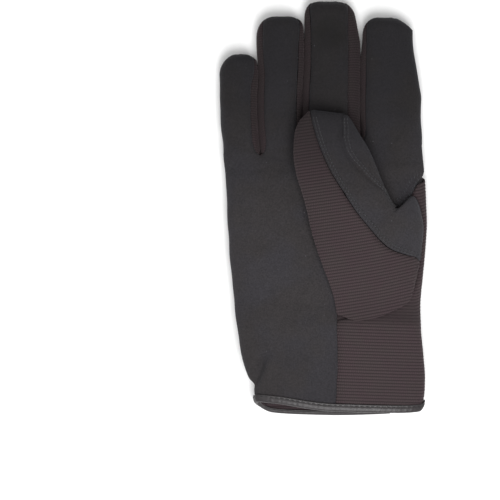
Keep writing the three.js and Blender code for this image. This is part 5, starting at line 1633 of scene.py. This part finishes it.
# lighter rubbed patches at random, the tape's own wear
wear_and_painted_shade = colours_mixed(tree, ramp(tree, noise(tree, in_mm(tree), 1.8, 3.), .55, .8), tone["Colour"], (
    .04, .0362, .0375, 1.))
dressed(tree, sockets, wear_and_painted_shade, ramp(tree, pebbled["Low"], 0., 1., .4, .55), height, .085,
        Specular_IOR_Level=.35, Coat_Weight=.05, Coat_Roughness=.3)

# %% Grained leather of the tab
tree, sockets = shader_of("strap")
tone = placed(tree, soft_tone, Colour=(.031, .03, .031, 1.), Cloud_size=14., Cloud=.06, Fleck_size=.8,
              Fleck=.06)
pebbled = placed(tree, hide, Pebble=1.15, Crease=.5)
colour = shaded(tree, tone["Colour"], ramp(tree, pebbled["Low"], 0., 1., 1.1, .7))
dressed(tree, sockets, colour, ramp(tree, pebbled["Low"], 0., 1., .36, .6), pebbled["Height"], .3,
        Specular_IOR_Level=.6, Coat_Weight=.15, Coat_Roughness=.3)

# %% Hooks of the pad
tree, sockets = shader_of("pad")
tone = placed(tree, soft_tone, Colour=(.02, .019, .02, 1.), Cloud_size=8., Cloud=.06, Fleck_size=.5,
              Fleck=.1)
stalks = node(tree, "TexVoronoi", {"Vector": in_mm(tree), "Scale": 1 / .9, "Randomness": .35})
hook = ramp(tree, stalks.outputs["Distance"], .15, .5, 1., 0.)
colour = shaded(tree, tone["Colour"], maths(tree, "ADD", .7, maths(tree, "MULTIPLY", hook, .9)))
dressed(tree, sockets, colour, ramp(tree, hook, 0., 1., .8, .45), hook, .5, Specular_IOR_Level=.4)

# %% Threads, and the painted shade of the needle holes
# the last colour is painted shade for the needle holes
THREADS = {"thread": (.0235, .023, .027, 1.), "dark_thread": (.016, .0155, .016, 1.),
           "hole_shade": (.008, .0075, .008, 1.)}
for name, colour in THREADS.items():
    tree, sockets = shader_of(name)
    tone = placed(tree, soft_tone, Colour=colour, Cloud_size=12., Cloud=.12, Fleck_size=.35, Fleck=.2)
    strands = node(tree, "TexWave", {"Vector": in_mm(tree), "Scale": .9, "Distortion": 1.5},
                   bands_direction="DIAGONAL").outputs["Fac"]
    dressed(tree, sockets, tone["Colour"], ramp(tree, tone["Height"], .2, .8, .6, .85), strands, .08,
            Specular_IOR_Level=.3, Sheen_Weight=.1)

# %% [markdown]
# ## Floor and light
# The photo was taken from straight above, on white, with light from the cuff side that weakens towards
# the fingertips. A broad soft light near the cuff gives part of that and painted shade in the cloth's
# colour gives the rest, a weaker light fills from the far side, and the floor is nearly white.

# %% Floor
FLOOR = 3
floor_mesh = bpy.data.meshes.new("floor")
floor_mesh.from_pydata([(-FLOOR, -FLOOR, 0), (FLOOR, -FLOOR, 0), (FLOOR, FLOOR, 0), (-FLOOR, FLOOR, 0)],
                       [], [(0, 1, 2, 3)])
floor = new_piece("floor", floor_mesh, "floor")
tree, sockets = shader_of("floor")
tone = placed(tree, soft_tone, Colour=(.9, .9, .9, 1.), Cloud_size=200., Cloud=.004, Fleck_size=2.,
              Fleck=.002)
dressed(tree, sockets, tone["Colour"], ramp(tree, tone["Height"], 0., 1., .85, .95), tone["Height"], .02,
        Specular_IOR_Level=.2)

# %% Lights
def soft_light(name, energy, size, place, target):
    light = bpy.data.objects.new(name, bpy.data.lights.new(name, "AREA"))
    light.data.energy, light.data.size = energy, size
    light.visible_camera = False
    light.location = place
    light.rotation_euler = (Vector(target) - Vector(place)).to_track_quat("-Z", "Y").to_euler()
    bpy.context.scene.collection.objects.link(light)
    print(f"{name}: {energy} W from", place)


soft_light("key", 5.5, .45, (.08, -.3, .6), (0, -.1, 0))
soft_light("fill", 2., .8, (-.5, .2, .8), (0, 0, 0))
world = bpy.data.worlds.new("room")
bpy.context.scene.world = world
world.use_nodes = True
world.node_tree.nodes["Background"].inputs["Color"].default_value = (1, 1, 1, 1)
world.node_tree.nodes["Background"].inputs["Strength"].default_value = .5
bpy.context.scene.view_settings.view_transform = "Standard"

# %% Camera
# in metres: the camera's height, the height that is in scale, and the width seen there
HEIGHT, SEEN_HEIGHT, VIEW_WIDTH = 1.8, .01, .29
VIEW_CENTRE = (-.04233, -.02416)
SENSOR_MM = 36
camera = bpy.data.objects.new("camera", bpy.data.cameras.new("camera"))
bpy.context.scene.collection.objects.link(camera)
camera.location = (*VIEW_CENTRE, HEIGHT)
camera.data.sensor_width = SENSOR_MM
camera.data.lens = SENSOR_MM * (HEIGHT - SEEN_HEIGHT) / VIEW_WIDTH
bpy.context.scene.camera = camera
